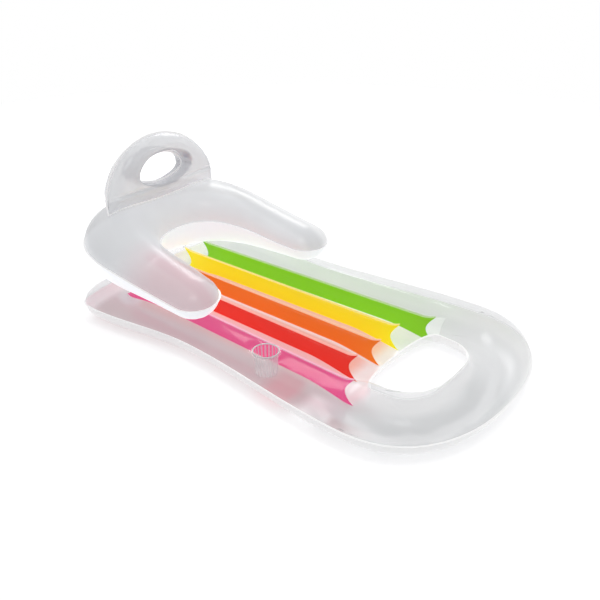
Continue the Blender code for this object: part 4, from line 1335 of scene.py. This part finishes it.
def light_world(scene):
    """A surround that the camera sees as white. Its light is brightest overhead and behind the chair, and
    dimmest from the camera's side."""
    world = bpy.data.worlds.new("white surround")
    scene.world = world
    world.use_nodes = True
    tree = world.node_tree
    tree.nodes.clear()
    path = add(tree, "ShaderNodeLightPath").outputs
    place = add(tree, "ShaderNodeTexCoord").outputs["Generated"]
    facing = add(tree, "ShaderNodeVectorMath", [(0, place), (1, BRIGHT_SIDE)], operation="DOT_PRODUCT")
    level = add(
        tree,
        "ShaderNodeMapRange",
        [
            ("Value", facing.outputs["Value"]),
            ("From Min", -0.6),
            ("From Max", 1),
            ("To Min", 0.28),
            ("To Max", 0.98),
        ],
    )
    fill = add(tree, "ShaderNodeBackground", [("Strength", level.outputs[0])])
    shown = add(tree, "ShaderNodeBackground", [("Color", linear("#FFFFFF")), ("Strength", 1)])
    seen = add(
        tree, "ShaderNodeMixShader", [(0, path["Is Camera Ray"]), (1, fill.outputs[0]), (2, shown.outputs[0])]
    )
    add(tree, "ShaderNodeOutputWorld", [("Surface", seen.outputs[0])])


def softbox(name, place, width, depth, power):
    """A rectangular lamp that looks at the chair, with its size in metres and its power in watts."""
    lamp = bpy.data.lights.new(name, "AREA")
    lamp.shape = "RECTANGLE"
    lamp.size, lamp.size_y = width, depth
    lamp.energy = power
    made = bpy.data.objects.new(name, lamp)
    bpy.context.scene.collection.objects.link(made)
    made.location = place
    made.rotation_euler = (Vector(LIGHT_TARGET) - Vector(place)).to_track_quat("-Z", "Y").to_euler()


def camera_at_photo(scene):
    """The photograph's view: its direction, distance and focal length, matched to the chair's outline."""
    level = math.cos(CAMERA_ELEVATION)
    back = Vector(
        (
            math.sin(CAMERA_AZIMUTH) * level,
            -math.cos(CAMERA_AZIMUTH) * level,
            math.sin(CAMERA_ELEVATION),
        )
    )
    data = bpy.data.cameras.new("photo_camera")
    data.sensor_width = SENSOR_WIDTH
    data.lens = SENSOR_WIDTH * FOCAL_PIXELS / PHOTO_PIXELS
    data.clip_end = VIEW_DEPTH
    camera = bpy.data.objects.new("photo_camera", data)
    scene.collection.objects.link(camera)
    camera.location = CAMERA_TARGET + back * CAMERA_DISTANCE
    camera.rotation_euler = (-back).to_track_quat("-Z", "Y").to_euler()
    scene.camera = camera


class VIEW3D_PT_pool_chair(bpy.types.Panel):
    """Lists the chair's pieces in build order"""

    bl_label = "Pool Chair"
    bl_idname = "VIEW3D_PT_pool_chair"
    bl_space_type = "VIEW_3D"
    bl_region_type = "UI"
    bl_category = "Pool Chair"

    def draw(self, context):
        for group in ("film", "cup", "finishes"):
            box = self.layout.box()
            values = getattr(settings(), group)
            for name in values.bl_rna.properties.keys():
                if name not in ("rna_type", "name"):
                    box.prop(values, name)
        for operator in BUILD_ORDER:
            self.layout.operator(operator.bl_idname)


BUILD_ORDER = (
    OBJECT_OT_pool_chair_mat,
    OBJECT_OT_pool_chair_webs,
    OBJECT_OT_pool_chair_cup,
    OBJECT_OT_pool_chair_backrest,
    OBJECT_OT_pool_chair_headrest,
    OBJECT_OT_pool_chair_valves,
    OBJECT_OT_pool_chair_stage,
)
CLASSES = (FilmSizes, CupSizes, Finishes, PoolChairSettings, *BUILD_ORDER, VIEW3D_PT_pool_chair)


def register():
    for item in CLASSES:
        bpy.utils.register_class(item)
    bpy.types.Scene.pool_chair = PointerProperty(type=PoolChairSettings)


def unregister():
    del bpy.types.Scene.pool_chair
    for item in reversed(CLASSES):
        bpy.utils.unregister_class(item)


def main():
    register()
    for operator in BUILD_ORDER:
        group, name = operator.bl_idname.split(".")
        getattr(getattr(bpy.ops, group), name)()


if __name__ == "__main__":
    main()
